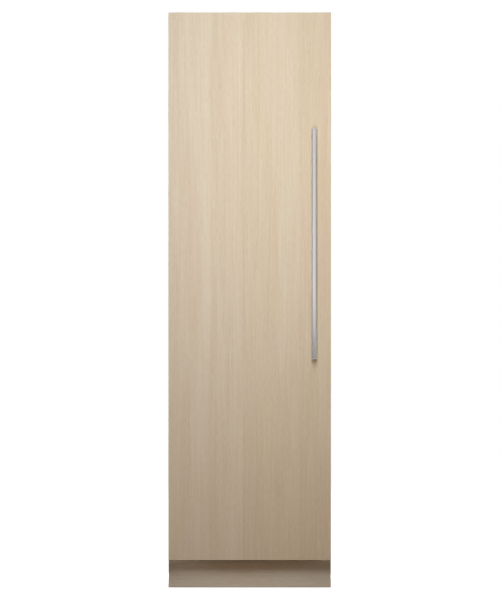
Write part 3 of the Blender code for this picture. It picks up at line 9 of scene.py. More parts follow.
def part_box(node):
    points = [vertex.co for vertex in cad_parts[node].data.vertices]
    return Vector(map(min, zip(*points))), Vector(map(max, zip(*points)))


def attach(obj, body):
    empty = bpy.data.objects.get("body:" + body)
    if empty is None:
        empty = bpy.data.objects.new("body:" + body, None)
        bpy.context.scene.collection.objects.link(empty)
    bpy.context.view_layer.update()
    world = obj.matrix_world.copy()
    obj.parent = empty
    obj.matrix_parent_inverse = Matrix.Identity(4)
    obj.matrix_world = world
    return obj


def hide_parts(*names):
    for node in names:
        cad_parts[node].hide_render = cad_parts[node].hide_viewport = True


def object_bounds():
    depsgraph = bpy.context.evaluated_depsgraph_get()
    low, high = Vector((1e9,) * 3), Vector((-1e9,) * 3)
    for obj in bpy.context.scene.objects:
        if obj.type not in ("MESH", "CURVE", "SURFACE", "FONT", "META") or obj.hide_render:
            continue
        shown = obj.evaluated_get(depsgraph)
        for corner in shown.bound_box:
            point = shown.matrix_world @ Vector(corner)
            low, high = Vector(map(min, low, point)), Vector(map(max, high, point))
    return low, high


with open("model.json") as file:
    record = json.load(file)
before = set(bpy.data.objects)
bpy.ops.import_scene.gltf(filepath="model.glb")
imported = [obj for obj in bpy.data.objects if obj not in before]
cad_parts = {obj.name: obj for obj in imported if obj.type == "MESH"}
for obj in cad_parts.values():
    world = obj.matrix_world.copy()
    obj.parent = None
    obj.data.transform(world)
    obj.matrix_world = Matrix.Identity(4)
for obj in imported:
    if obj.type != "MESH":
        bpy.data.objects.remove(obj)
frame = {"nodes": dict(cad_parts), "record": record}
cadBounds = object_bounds()
cadMiddle = (cadBounds[0] + cadBounds[1]) / 2
ground = cadBounds[0].z
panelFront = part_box("door_panel")[0].y
touching = 1e-5  # points that are nearer than this count as one place
merging = 1e-6  # and points that are nearer than this are merged
alongAxis = 0.99  # the least share of a direction that counts as along an axis
nodes = frame["nodes"]
slotOfNode = {part["node"]: part["material_slot"] for part in frame["record"]["subparts"]}
bodyOfNode = {
    nodeName: body
    for body, members in frame["record"]["behaviour"]["bodies"].items()
    for nodeName in members
}
print("frame loaded:", len(nodes), "nodes")


# general tools

def camelName(name):
    first, *others = name.split("_")
    return first + "".join(word.title() for word in others)


def middleOf(low, high):
    return (low + high) / 2


def spaced(count, pitch):
    # a row of places, its middle at zero
    return [pitch * (number + 0.5 - count / 2) for number in range(count)]


def addObject(name, data):
    made = bpy.data.objects.new(name, data)
    bpy.context.scene.collection.objects.link(made)
    return made


def addMesh(name, shape, material):
    mesh = bpy.data.meshes.new(name)
    shape.to_mesh(mesh)
    shape.free()
    mesh.materials.append(material)
    return addObject(name, mesh)


# node tools

def fillSockets(tree, node, inputs):
    # a socket, by its label or number, takes a value or another node's output
    for label, value in inputs.items():
        socket = node.inputs[label]
        if isinstance(value, bpy.types.NodeSocket):
            tree.links.new(value, socket)
        elif socket.type == "RGBA":
            socket.default_value = (*value, 1)
        else:
            socket.default_value = value


def addNode(tree, kind, inputs=None, **settings):
    node = tree.nodes.new("ShaderNode" + kind)
    for key, value in settings.items():
        setattr(node, key, value)
    fillSockets(tree, node, inputs or {})
    return node


def calculated(tree, operation, first, second):
    return addNode(tree, "Math", {0: first, 1: second}, operation=operation).outputs[0]


def remapped(tree, value, fromLow, fromHigh, toLow=0.0, toHigh=1.0):
    ranges = {"From Min": fromLow, "From Max": fromHigh, "To Min": toLow, "To Max": toHigh}
    return addNode(tree, "MapRange", {"Value": value, **ranges}).outputs[0]


def blended(tree, share, low, high, mode="MIX"):
    # a Mix node's sockets 6 and 7 and its output 2 are the ones for colours
    colours = {0: share, 6: low, 7: high}
    return addNode(tree, "Mix", colours, data_type="RGBA", blend_type=mode, clamp_result=True).outputs[2]


def stretched(tree, vector, scale):
    return addNode(tree, "VectorMath", {0: vector, 1: scale}, operation="MULTIPLY").outputs[0]


def noise(tree, vector, scale, detail=2.0, roughness=0.5):
    inputs = {"Vector": vector, "Scale": scale, "Detail": detail, "Roughness": roughness}
    return addNode(tree, "TexNoise", inputs).outputs["Fac"]


def grainNoise(tree, vector, stretch, scale, detail=2.0, roughness=0.5):
    # noise that is drawn out along the vector's Z
    return noise(tree, stretched(tree, vector, (1, 1, stretch)), scale, detail, roughness)


def directRays(tree):
    # 1 for what is seen, also in gloss and through glass, and 0 for light on its way to a surface
    path = addNode(tree, "LightPath").outputs
    direct = calculated(tree, "MAXIMUM", path["Is Camera Ray"], path["Is Glossy Ray"])
    return calculated(tree, "MAXIMUM", direct, path["Is Transmission Ray"])


# camera and studio

cameraPlan = {
    "imageSize": (500, 600),
    "metresPerPixel": 0.003709,  # on the panel's front
    "objectMiddlePixel": (249.7, 300.15),
    "distance": 60.0,  # the photograph shows no perspective, so the lens is long
    "sensorWidth": 36,
    "viewEnd": 100,
}
roomPlan = {"colour": (1.0, 0.90, 0.81), "strength": 0.27}
lampPlan = {
    # the big lamp's place, its depth from the panel's front, then its size, power and colour
    "key": ((0.14, -1.8, 1.95), (0.42, 2.1), 35.5, (0.92, 0.965, 1.0)),
    "fillSize": (0.8, 2.4),
    "fillRise": 0.35,
    # turn from the front in degrees, distance, setback and power
    "fills": {
        "leftLamp": (-90, 2.6, 0.45, 26.0),
        "rightLamp": (90, 2.6, 0.45, 26.0),
        "backLamp": (180, 3.0, 0.0, 46.0),
    },
    "top": ((0, 0.5, 1.8), (1.6, 1.2), 16.0),  # from the middle of the object's top
}


def makeCamera(plan):
    width, height = plan["imageSize"]
    middleAcross, middleDown = plan["objectMiddlePixel"]
    across = (width / 2 - middleAcross) * plan["metresPerPixel"]
    up = (middleDown - height / 2) * plan["metresPerPixel"]
    camera = bpy.data.cameras.new("studioCamera")
    camera.sensor_width = plan["sensorWidth"]
    camera.lens = camera.sensor_width * plan["distance"] / (height * plan["metresPerPixel"])
    camera.clip_end = plan["viewEnd"]
    stand = addObject("studioCamera", camera)
    stand.location = (across, panelFront - plan["distance"], cadMiddle.z + up)
    stand.rotation_euler = (math.radians(90), 0, 0)
    bpy.context.scene.camera = stand


def makeRoom(plan):
    # white where it is seen, warm and dim as light on the object
    world = bpy.data.worlds.new("studioRoom")
    bpy.context.scene.world = world
    world.use_nodes = True
    tree = world.node_tree
    glow = tree.nodes["Background"]
    fillSockets(tree, glow, {"Color": plan["colour"], "Strength": plan["strength"]})
    white = addNode(tree, "Background", {"Color": (1, 1, 1), "Strength": 1.0})
    mix = addNode(tree, "MixShader", {0: directRays(tree), 1: glow.outputs[0], 2: white.outputs[0]})
    fillSockets(tree, tree.nodes["World Output"], {"Surface": mix.outputs[0]})


def makeLamp(name, place, aim, size, power, colour=(1, 1, 1)):
    lamp = bpy.data.lights.new(name, "AREA")
    lamp.shape = "RECTANGLE"
    lamp.size, lamp.size_y = size
    lamp.energy = power
    lamp.color = colour
    stand = addObject(name, lamp)
    stand.location = place
    stand.rotation_euler = (Vector(aim) - Vector(place)).to_track_quat("-Z", "Y").to_euler()
    stand.visible_camera = False
    stand.visible_glossy = False


def makeLamps(plan):
    (across, depth, height), size, power, colour = plan["key"]
    front = (across, panelFront, height)
    makeLamp("keyLamp", (across, panelFront + depth, height), front, size, power, colour)
    for name, (degrees, distance, setback, power) in plan["fills"].items():
        turn = math.radians(degrees)
        away = Vector((math.sin(turn), -math.cos(turn), 0)) * distance
        place = cadMiddle + away + Vector((0, setback, plan["fillRise"]))
        makeLamp(name, place, (cadMiddle.x, cadMiddle.y, place.z), plan["fillSize"], power)
    offset, size, power = plan["top"]
    place = Vector((cadMiddle.x, cadMiddle.y, cadBounds[1].z)) + Vector(offset)
    makeLamp("topLamp", place, place - Vector((0, 0, 1)), size, power)


makeCamera(cameraPlan)
makeRoom(roomPlan)
makeLamps(lampPlan)
bpy.context.scene.view_settings.view_transform = "Standard"
print("camera and studio ready")


# shared effects, each one a node group that is built once

veneerPlan = {
    "driftStretch": (1.2, 1.2, 0.5),
    "driftScale": 1.6,
    "wander": 0.010,  # how far the grain strays, in metres
    # each noise: its stretch along the grain, scale, detail and roughness
    "wanderingLayers": {
        "bands": (0.05, 30.0, 3.0, 0.55),
        "rings": (0.018, 210.0, 4.0, 0.62),
        "pores": (0.035, 900.0, 1.0),
        "flecks": (0.25, 160.0),
    },
    "straightLayers": {"streaks": (0.13, 300.0), "fibres": (0.02, 1100.0), "hue": (0.18, 9.0)},
    "toneShares": {"bands": 0.30, "rings": 0.44, "streaks": 0.34},
    "toneRange": (0.37, 0.71),
    # a tint, and the range of the hue noise over which it grows to its full share
    "tints": (
        ((1.0, 0.975, 0.90), (0.52, 0.66, 0.0, 0.45)),
        ((1.0, 0.945, 0.925), (0.46, 0.34, 0.0, 0.35)),
    ),
    # the noise's range, and the share and colour of the marks
    "marks": {
        "pores": ((0.62, 0.74), 0.20, (0.42, 0.31, 0.19)),
        "flecks": ((0.60, 0.75), 0.22, (0.82, 0.73, 0.58)),
    },
    "roughness": (0.46, 0.56),
    "relief": 0.5,
}
linesPlan = {
    "layer": (3.0, 0.7),  # detail and roughness
    "stretch": 0.012,
    "range": (0.3, 0.7),
    "smears": (14.0, 3.0),  # scale and detail
    "smearRange": (0.35, 0.65, 0.96, 1.04),
}
cloudPlan = {"layer": (5.0, 4.0, 0.6), "range": (0.3, 0.7), "shade": (0.55, 0.55, 0.56)}
socketKinds = {"Vector": "Vector", "Pale": "Color", "Deep": "Color", "Colour": "Color", "Color": "Color"}


def startGroup(name, inputs, firstOutput="Color"):
    group = bpy.data.node_groups.new(name, "ShaderNodeTree")
    for direction, labels in (("INPUT", inputs), ("OUTPUT", (firstOutput, "Roughness", "Height"))):
        for label in labels:
            kind = "NodeSocket" + socketKinds.get(label, "Float")
            group.interface.new_socket(name=label, in_out=direction, socket_type=kind)
    return group, group.nodes.new("NodeGroupInput").outputs, group.nodes.new("NodeGroupOutput")


def makeOakGroup(plan):
    # rift oak veneer, the grain running along the vector's Z
    tree, start, end = startGroup("oakVeneer", ("Vector", "Pale", "Deep", "Leaf Tone"))
    place = start["Vector"]
    driftPlace = stretched(tree, place, plan["driftStretch"])
    drift = addNode(tree, "TexNoise", {"Vector": driftPlace, "Scale": plan["driftScale"]}).outputs["Color"]
    wander = addNode(tree, "VectorMath", {0: drift, "Scale": plan["wander"]}, operation="SCALE").outputs[0]
    bent = addNode(tree, "VectorMath", {0: place, 1: wander}, operation="ADD").outputs[0]
    layers = {name: grainNoise(tree, bent, *layer) for name, layer in plan["wanderingLayers"].items()}
    for name, layer in plan["straightLayers"].items():
        layers[name] = grainNoise(tree, place, *layer)
    tone = start["Leaf Tone"]
    for name, share in plan["toneShares"].items():
        tone = calculated(tree, "ADD", tone, calculated(tree, "MULTIPLY", layers[name], share))
    depth = remapped(tree, tone, *plan["toneRange"])
    colour = plain = blended(tree, depth, start["Pale"], start["Deep"])
    for tint, span in plan["tints"]:
        tinted = blended(tree, 1.0, plain, tint, "MULTIPLY")
        colour = blended(tree, remapped(tree, layers["hue"], *span), colour, tinted)
    for name, (span, share, paint) in plan["marks"].items():
        layers[name] = remapped(tree, layers[name], *span)
        colour = blended(tree, calculated(tree, "MULTIPLY", layers[name], share), colour, paint)
    raised = [calculated(tree, "MULTIPLY", layers[name], plan["relief"]) for name in ("fibres", "rings")]
    height = calculated(tree, "SUBTRACT", calculated(tree, "ADD", *raised), layers["pores"])
    rough = remapped(tree, depth, 0.0, 1.0, *plan["roughness"])
    fillSockets(tree, end, {"Color": colour, "Roughness": rough, "Height": height})
    return tree


def makeBrushedGroup(plan):
    # fine lines along the vector's Z
    tree, start, end = startGroup("brushedLines", ("Vector", "Lines", "Smooth", "Rough"), "Tone")
    lines = grainNoise(tree, start["Vector"], plan["stretch"], start["Lines"], *plan["layer"])
    smears = remapped(tree, noise(tree, start["Vector"], *plan["smears"]), *plan["smearRange"])
    rough = remapped(tree, lines, *plan["range"], start["Smooth"], start["Rough"])
    rough = calculated(tree, "MULTIPLY", rough, smears)
    tone = remapped(tree, lines, *plan["range"])
    fillSockets(tree, end, {"Tone": tone, "Roughness": rough, "Height": lines})
    return tree


def makeSkinGroup(plan):
    # the fine orange peel and the faint clouding of a moulded or sprayed surface
    tree, start, end = startGroup("finishSkin", ("Vector", "Colour", "Grain", "Cloud", "Smooth", "Rough"))
    peel = noise(tree, start["Vector"], start["Grain"])
    cloud = noise(tree, start["Vector"], *plan["layer"])
    darker = blended(tree, 1.0, start["Colour"], plan["shade"], "MULTIPLY")
    colour = blended(tree, calculated(tree, "MULTIPLY", cloud, start["Cloud"]), start["Colour"], darker)
    rough = remapped(tree, cloud, *plan["range"], start["Smooth"], start["Rough"])
    fillSockets(tree, end, {"Color": colour, "Roughness": rough, "Height": peel})
    return tree


oakVeneer = makeOakGroup(veneerPlan)
brushedLines = makeBrushedGroup(linesPlan)
finishSkin = makeSkinGroup(cloudPlan)
print("shared effects ready")


# materials, each named as the record's slot for it

crosswise = (0, math.radians(90), 0)
oakPlans = {
    "oakPanel": {
        "turn": (0, 0, 0),
        "shift": (0.0, 0.0, 0.0),
        "pale": (0.774, 0.664, 0.521),
        "deep": (0.666, 0.530, 0.377),
        "leafContrast": 0.11,
        "leafSpan": 0.603,
        # where each veneer leaf starts across the panel, and its tone
        "leaves": (
            *((-0.3015, -0.30), (-0.217, -0.38), (-0.145, -0.14), (-0.074, -0.36), (-0.026, 0.24)),
            *((0.035, 0.12), (0.113, 0.04), (0.183, 0.36), (0.255, 0.34)),
        ),
        "specular": 0.2,
    },
    # painted light: the toe-kick's oak is paler and greyer than the panel's, standing in for light its
    # shaded recess lacks and offsetting the floor's warm bounce there
    "oakToeKick": {
        "turn": crosswise,
        "shift": (0.31, 0.0, 0.13),
        "pale": (0.885, 0.79, 0.65),
        "deep": (0.745, 0.635, 0.50),
        "leaves": (),
        "specular": 0.4,
    },
}

# scale of the lines' noise, lowest and highest roughness, turn, pale and deep colour, and relief
brushedPlans = {
    "handleSteel": (2600.0, (0.24, 0.36), (0, 0, 0), (0.68, 0.68, 0.67), (0.58, 0.58, 0.575), 0.12),
    "baseSteel": (700.0, (0.34, 0.50), crosswise, (0.40, 0.41, 0.425), (0.33, 0.34, 0.355), 0.06),
    "trimMetal": (2600.0, (0.24, 0.36), crosswise, (0.74, 0.74, 0.73), (0.64, 0.64, 0.635), 0.10),
}

plainSkin = {"grain": 900.0, "cloud": 0.10, "metallic": 0.0, "clear": 0.0, "bending": 1.5, "bump": 0.15}
bareMetal = {"metallic": 1.0, "bump": 0.1}
whiteMoulding = ((0.84, 0.84, 0.83), (0.26, 0.36), {"grain": 1500.0})

# colour, lowest and highest roughness, and what differs from the plain skin
skinPlans = {
    "casingSteel": ((0.575, 0.595, 0.62), (0.34, 0.44), {}),
    "hingeSteel": ((0.60, 0.61, 0.62), (0.26, 0.38), {**bareMetal, "grain": 2400.0}),
    "zinc": ((0.66, 0.67, 0.67), (0.30, 0.46), {**bareMetal, "grain": 2400.0, "cloud": 0.5}),
    "aluminium": ((0.78, 0.79, 0.80), (0.28, 0.42), bareMetal),
    "copper": ((0.75, 0.42, 0.28), (0.26, 0.42), {**bareMetal, "cloud": 0.4}),
    "foam": ((0.80, 0.72, 0.48), (0.8, 0.95), {"grain": 700.0, "bump": 0.6}),
    "innerDoor": whiteMoulding,
    "liner": whiteMoulding,
    "ductCover": ((0.80, 0.81, 0.81), (0.34, 0.44), {"grain": 1800.0}),
    "clearPlastic": (
        (0.93, 0.95, 0.96),
        (0.06, 0.12),
        {"clear": 0.92, "bending": 1.46, "cloud": 0.02, "bump": 0.02},
    ),
    "shelfGlass": ((0.86, 0.94, 0.91), (0.02, 0.05), {"clear": 0.95, "cloud": 0.02, "bump": 0.01}),
    "shelfRim": ((0.78, 0.79, 0.80), (0.28, 0.36), {}),
    "lamp": ((0.93, 0.93, 0.90), (0.35, 0.45), {"grain": 1400.0, "glow": 0.5}),
    "dotLight": ((0.9, 0.95, 1.0), (0.3, 0.4), {"glow": 1.2}),
    "controls": ((0.10, 0.105, 0.11), (0.18, 0.28), {}),
    "gasket": ((0.55, 0.56, 0.56), (0.55, 0.70), {"grain": 1200.0}),
    "compressorBlack": ((0.035, 0.035, 0.038), (0.26, 0.36), {"grain": 500.0, "bump": 0.25}),
    "blackPlastic": ((0.035, 0.035, 0.036), (0.42, 0.55), {"grain": 2400.0, "bump": 0.3}),
    "fanPlastic": ((0.78, 0.79, 0.79), (0.36, 0.46), {}),
    "rollerPlastic": ((0.26, 0.27, 0.28), (0.46, 0.58), {}),
}


def startMaterial(name):
    material = bpy.data.materials.new(name)
    material.use_nodes = True
    tree = material.node_tree
    return material, tree, tree.nodes["Principled BSDF"], addNode(tree, "TexCoord").outputs["Object"]


def coverShader(tree, shader, effect, colour, strength, depth=0.0002):
    # the effect's colour, roughness and relief
    relief = {"Strength": strength, "Distance": depth, "Height": effect["Height"]}
    normal = addNode(tree, "Bump", relief).outputs["Normal"]
    fillSockets(tree, shader, {"Base Color": colour, "Roughness": effect["Roughness"], "Normal": normal})


def leafTone(tree, place, plan):
    # a ramp with one flat step for each veneer leaf
    width = plan["leafSpan"]
    across = addNode(tree, "SeparateXYZ", {"Vector": place}).outputs["X"]
    ramp = addNode(tree, "ValToRGB", {"Fac": remapped(tree, across, -width / 2, width / 2)})
    ramp.color_ramp.interpolation = "CONSTANT"
    stops = ramp.color_ramp.elements
    for number, (start, tone) in enumerate(plan["leaves"]):
        share = (start + width / 2) / width
        stop = stops[number] if number < 2 else stops.new(share)  # a new ramp has two stops
        stop.position = share
        stop.color = (0.5 + tone, 0.5 + tone, 0.5 + tone, 1)
    return remapped(tree, ramp.outputs["Color"], 0.0, 1.0, -plan["leafContrast"], plan["leafContrast"])


def oakMaterial(name, plan):
    material, tree, shader, place = startMaterial(name)
    mapping = {"Vector": place, "Rotation": plan["turn"], "Location": plan["shift"]}
    turned = addNode(tree, "Mapping", mapping).outputs[0]
    inputs = {"Vector": turned, "Pale": plan["pale"], "Deep": plan["deep"]}
    if plan["leaves"]:
        inputs["Leaf Tone"] = leafTone(tree, place, plan)
    veneer = addNode(tree, "Group", inputs, node_tree=oakVeneer).outputs
    fillSockets(tree, shader, {"Specular IOR Level": plan["specular"]})
    coverShader(tree, shader, veneer, veneer["Color"], strength=0.25, depth=0.0003)
    return material


def brushedMaterial(name, plan):
    density, (smooth, rough), turn, pale, deep, relief = plan
    material, tree, shader, place = startMaterial(name)
    turned = addNode(tree, "Mapping", {"Vector": place, "Rotation": turn}).outputs[0]
    inputs = {"Vector": turned, "Lines": density, "Smooth": smooth, "Rough": rough}
    lines = addNode(tree, "Group", inputs, node_tree=brushedLines).outputs
    fillSockets(tree, shader, {"Metallic": 1.0})
    coverShader(tree, shader, lines, blended(tree, lines["Tone"], deep, pale), relief)
    return material


def skinMaterial(name, plan):
    material, tree, shader, place = startMaterial(name)
    colour, (smooth, rough), changes = plan
    plan = {**plainSkin, **changes}
    inputs = {"Vector": place, "Colour": colour, "Smooth": smooth, "Rough": rough}
    inputs.update({"Grain": plan["grain"], "Cloud": plan["cloud"]})
    skin = addNode(tree, "Group", inputs, node_tree=finishSkin).outputs
    body = {"Metallic": plan["metallic"], "Transmission Weight": plan["clear"], "IOR": plan["bending"]}
    if "glow" in plan:
        body.update({"Emission Color": colour, "Emission Strength": plan["glow"]})
    fillSockets(tree, shader, body)
    coverShader(tree, shader, skin, skin["Color"], plan["bump"])
    return material


finishes = {name: oakMaterial(name, plan) for name, plan in oakPlans.items()}
finishes.update({name: brushedMaterial(name, plan) for name, plan in brushedPlans.items()})
finishes.update({name: skinMaterial(name, plan) for name, plan in skinPlans.items()})
for nodeName, node in nodes.items():
    for spot in node.material_slots:
        spot.material = finishes[camelName(slotOfNode[nodeName])]
print("materials ready")


# tools for new pieces

def settle(piece, body, replaced=None):
    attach(piece, body)
    if replaced:
        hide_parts(replaced)


def addPiece(name, shape, body, slot, finish=None, replaced=None, smooth=35):
    # its finish is the slot's own, unless another is named
    bmesh.ops.recalc_face_normals(shape, faces=shape.faces)
    piece = addMesh(name, shape, finishes[finish or camelName(slot)])
    piece.data.shade_smooth()
    piece.data.set_sharp_from_angle(angle=math.radians(smooth))
    settle(piece, body, replaced)


def standFor(nodeName, name, shape, finish=None, smooth=35):
    # a piece in a CAD node's place, on its body and with its slot
    addPiece(name, shape, bodyOfNode[nodeName], slotOfNode[nodeName], finish, nodeName, smooth)


def roundEdges(shape, edges, radius, steps=2):
    form = {"profile": 0.5, "affect": "EDGES", "material": -1, "clamp_overlap": True}
    bmesh.ops.bevel(shape, geom=edges, offset=radius, segments=steps, **form)


def copyOfNode(nodeName):
    # a CAD node's mesh is loose triangles: the copy is merged and its flat faces joined
    shape = bmesh.new()
    shape.from_mesh(nodes[nodeName].data)
    bmesh.ops.remove_doubles(shape, verts=shape.verts, dist=merging)
    flat = {"angle_limit": math.radians(0.8), "use_dissolve_boundaries": False}
    bmesh.ops.dissolve_limit(shape, verts=shape.verts, edges=shape.edges, **flat)
    return shape


def sharpEdges(shape, angle=40, convex=None, axis=None, shortest=0.0, behind=-math.inf):
    # shortest is the least length of an edge, and behind is the depth from which edges count
    found = []
    for edge in shape.edges:
        if len(edge.link_faces) != 2 or edge.calc_face_angle() < math.radians(angle):
            continue
        if convex is not None and edge.is_convex != convex:
            continue
        if axis is not None and abs((edge.verts[0].co - edge.verts[1].co).normalized()[axis]) < alongAxis:
            continue
        if edge.calc_length() >= shortest and edge.verts[0].co.y >= behind:
            found.append(edge)
    return found


def easeNode(nodeName, pieceName, radius, steps=2, finish=None, corners=(0, 0), behind=-math.inf):
    # corners: outside and inside radius for the large upright corners of a moulded part
    shape = copyOfNode(nodeName)
    for convex, corner in zip((True, False), corners):
        if corner:
            uprights = sharpEdges(shape, angle=60, convex=convex, axis=2, behind=behind)
            roundEdges(shape, uprights, corner, steps=6)
    roundEdges(shape, sharpEdges(shape), radius, steps)
    standFor(nodeName, pieceName, shape, finish)


def easeNodes(plans):
    # for each node the new piece's name, its edge radius and what differs from the usual
    for nodeName, (pieceName, radius, changes) in plans.items():
        easeNode(nodeName, pieceName, radius, **changes)


def addBlock(shape, low, high, radius=0.0, steps=2, turn=Matrix()):
    low, high = Vector(low), Vector(high)
    place = Matrix.Translation(middleOf(low, high)) @ turn
    made = bmesh.ops.create_cube(shape, size=1, matrix=place @ Matrix.Diagonal((*(high - low), 1)))
    if radius:
        edges = {edge for vert in made["verts"] for edge in vert.link_edges}
        roundEdges(shape, list(edges), radius, steps)


def turnTo(direction):
    return direction.to_track_quat("Z", "Y").to_matrix().to_4x4()


def addCone(shape, start, end, radius, tipRadius, sides):
    place = Matrix.Translation(middleOf(start, end)) @ turnTo(end - start)
    form = {"cap_ends": True, "segments": sides, "radius1": radius, "radius2": tipRadius}
    made = bmesh.ops.create_cone(shape, depth=(end - start).length, matrix=place, **form)
    return {face for vert in made["verts"] for face in vert.link_faces}


def addRod(shape, start, end, radius, sides, edge=0.0):
    faces = addCone(shape, Vector(start), Vector(end), radius, radius, sides)
    if edge:
        caps = [face for face in faces if len(face.verts) == sides]
        roundEdges(shape, [rim for face in caps for rim in face.edges], edge)


screwPlan = {"sides": 24, "lobes": 6, "taper": 0.84, "margin": 0.36, "lobeDepth": 0.30, "recess": 0.7}


def addScrew(shape, place, direction, radius, height, plan):
    # a low round head with a six-lobed recess
    place, heading = Vector(place), Vector(direction)
    faces = addCone(shape, place, place + heading * height, radius, radius * plan["taper"], plan["sides"])
    top = max(faces, key=lambda face: (face.calc_center_median() - place).dot(heading))
    bmesh.ops.inset_region(shape, faces=[top], thickness=radius * plan["margin"])
    middle = top.calc_center_median()
    vertsInLobe = plan["sides"] // plan["lobes"]
    for number, vert in enumerate(top.verts):
        if number % vertsInLobe < 2:
            vert.co = vert.co.lerp(middle, plan["lobeDepth"])
    floor = bmesh.ops.extrude_discrete_faces(shape, faces=[top])["faces"][0]
    bmesh.ops.translate(shape, verts=floor.verts, vec=-heading * height * plan["recess"])


def addScrews(name, places, direction, radius, height, body="cabinet"):
    screws = bmesh.new()
    for place in places:
        addScrew(screws, place, direction, radius, height, screwPlan)
    addPiece(name, screws, body, "hinge_steel", "zinc")


def addBackScrews(name, acrosses, heights, back, radius, sink):
    places = [(across, back - sink, height) for height in heights for across in acrosses]
    addScrews(name, places, (0, 1, 0), radius, sink)


def addTurned(shape, profile, place, axis, steps):
    # a turned part: (radius, height) points spun round an axis
    earlier = set(shape.verts)
    verts = [shape.verts.new((radius, 0, height)) for radius, height in profile]
    geom = verts + [shape.edges.new(pair) for pair in zip(verts, verts[1:])]
    wholeTurn = {"cent": (0, 0, 0), "axis": (0, 0, 1), "angle": math.tau}
    bmesh.ops.spin(shape, geom=geom, steps=steps, use_merge=True, **wholeTurn)
    made = [vert for vert in shape.verts if vert not in earlier]
    bmesh.ops.remove_doubles(shape, verts=made, dist=merging)
    made = [vert for vert in made if vert.is_valid]
    bmesh.ops.transform(shape, verts=made, matrix=Matrix.Translation(place) @ turnTo(Vector(axis)))


def mirrored(profile):
    # the profile and its mirror image below it, closed
    return profile + [(radius, -height) for radius, height in reversed(profile)] + profile[:1]


def makePipe(name, corners, radius, bend, slot):
    # a tube through the corners, each one rounded
    bendSteps = 8
    corners = [Vector(corner) for corner in corners]
    route = [corners[0]]
    for before, corner, after in zip(corners, corners[1:], corners[2:]):
        first = corner.lerp(before, bend / (before - corner).length)
        last = corner.lerp(after, bend / (after - corner).length)
        for step in range(bendSteps + 1):
            share = step / bendSteps
            route.append(first.lerp(corner, share).lerp(corner.lerp(last, share), share))
    route.append(corners[-1])
    curve = bpy.data.curves.new(name, "CURVE")
    curve.dimensions = "3D"
    curve.bevel_depth = radius
    curve.bevel_resolution = 4
    curve.use_fill_caps = True
    spline = curve.splines.new("POLY")
    spline.points.add(len(route) - 1)
    for point, spot in zip(spline.points, route):
        point.co = (*spot, 1)
    spline.use_smooth = True
    curve.materials.append(finishes[camelName(slot)])
    settle(addObject(name, curve), "cabinet")


# handle: a flat bar and two long posts

handlePlan = {
    "barCornerRadius": 0.0036,  # seen from the front, at the four corners
    "barEdgeRadius": 0.0030,
    "postEdgeRadius": 0.0016,
}


def makeHandle(plan):
    shape = bmesh.new()
    addBlock(shape, *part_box("handle_bar"))
    roundEdges(shape, sharpEdges(shape, axis=1), plan["barCornerRadius"], steps=5)
    rims = [edge for edge in shape.edges if abs(edge.verts[0].co.y - edge.verts[1].co.y) < touching]
    roundEdges(shape, rims, plan["barEdgeRadius"], steps=4)
    standFor("handle_bar", "handleBar", shape)
    for end in ("upper", "lower"):
        easeNode(f"handle_post_{end}", f"handlePost{end.title()}", plan["postEdgeRadius"], steps=3)


makeHandle(handlePlan)
print("handle ready")


# oak panel and toe-kick

oakPlan = {"panelEdge": 0.0005, "toeKickEdge": 0.0008, "toeKickGap": 0.0005}


def makeToeKick(plan):
    shape = copyOfNode("toe_kick_panel")
    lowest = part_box("toe_kick_panel")[0].z
    for vert in shape.verts:
        if vert.co.z < lowest + touching:
            vert.co.z = ground + plan["toeKickGap"]  # scribed down to the floor
    roundEdges(shape, sharpEdges(shape), plan["toeKickEdge"])
    standFor("toe_kick_panel", "toeKickBoard", shape)


easeNode("door_panel", "doorPanel", oakPlan["panelEdge"])
makeToeKick(oakPlan)
print("oak boards ready")


# cabinet shell

casingPlan = {
    "fold": 0.0009,
    # margin, slope and depth of a raised or sunk field
    "backField": (0.016, 0.0014, -0.0008),  # inside the wrapper's folded margin
    "bead": (0.010, 0.0035, 0.0006),
    "sideField": (0.012, 0.0012, -0.0005),
    "beadAcross": (-0.15, 0.0, 0.15),  # shallow upright beads pressed in the back sheet
    "beadHalfWidth": 0.022,
    "screwHeights": (0.42, 0.80, 1.20, 1.60, 2.04),
    "screwAcross": (-0.272, 0.272),
    "screwRadius": 0.0038,
    "screwSink": 0.0008,
}
rearCoverPlan = {
    "edge": 0.0002,
    "recess": 0.0006,
    "screwAcross": (-0.288, -0.144, 0.144, 0.288),
    "screwInset": 0.012,
    "screwRadius": 0.0038,
    "louvres": (12, 0.022),  # count and pitch
    "louvreSize": (0.0074, 0.0009, 0.118),
    "louvreDepth": 0.0055,
    "louvreGap": 0.0012,
    "louvreHeight": 0.1868,
    "louvreEdge": 0.0003,
}
shellPlans = {
    "inner_liner": ("linerTub", 0.0016, {"corners": (0, 0.010)}),
    "base_pan": ("basePanTray", 0.0005, {}),
    "toe_grille": ("toeGrilleSlats", 0.0004, {}),
    "power_inlet": ("powerInletSocket", 0.0003, {}),
}


def faceOn(shape, axis, level):
    # the largest flat face at a level along an axis
    found = [
        face
        for face in shape.faces
        if abs(face.normal[axis]) > alongAxis and abs(face.calc_center_median()[axis] - level) < touching
    ]
    return max(found, key=lambda face: face.calc_area())


def addField(shape, face, margin, slope, depth):
    bmesh.ops.inset_region(shape, faces=[face], thickness=margin)
    bmesh.ops.inset_region(shape, faces=[face], thickness=slope, depth=depth)


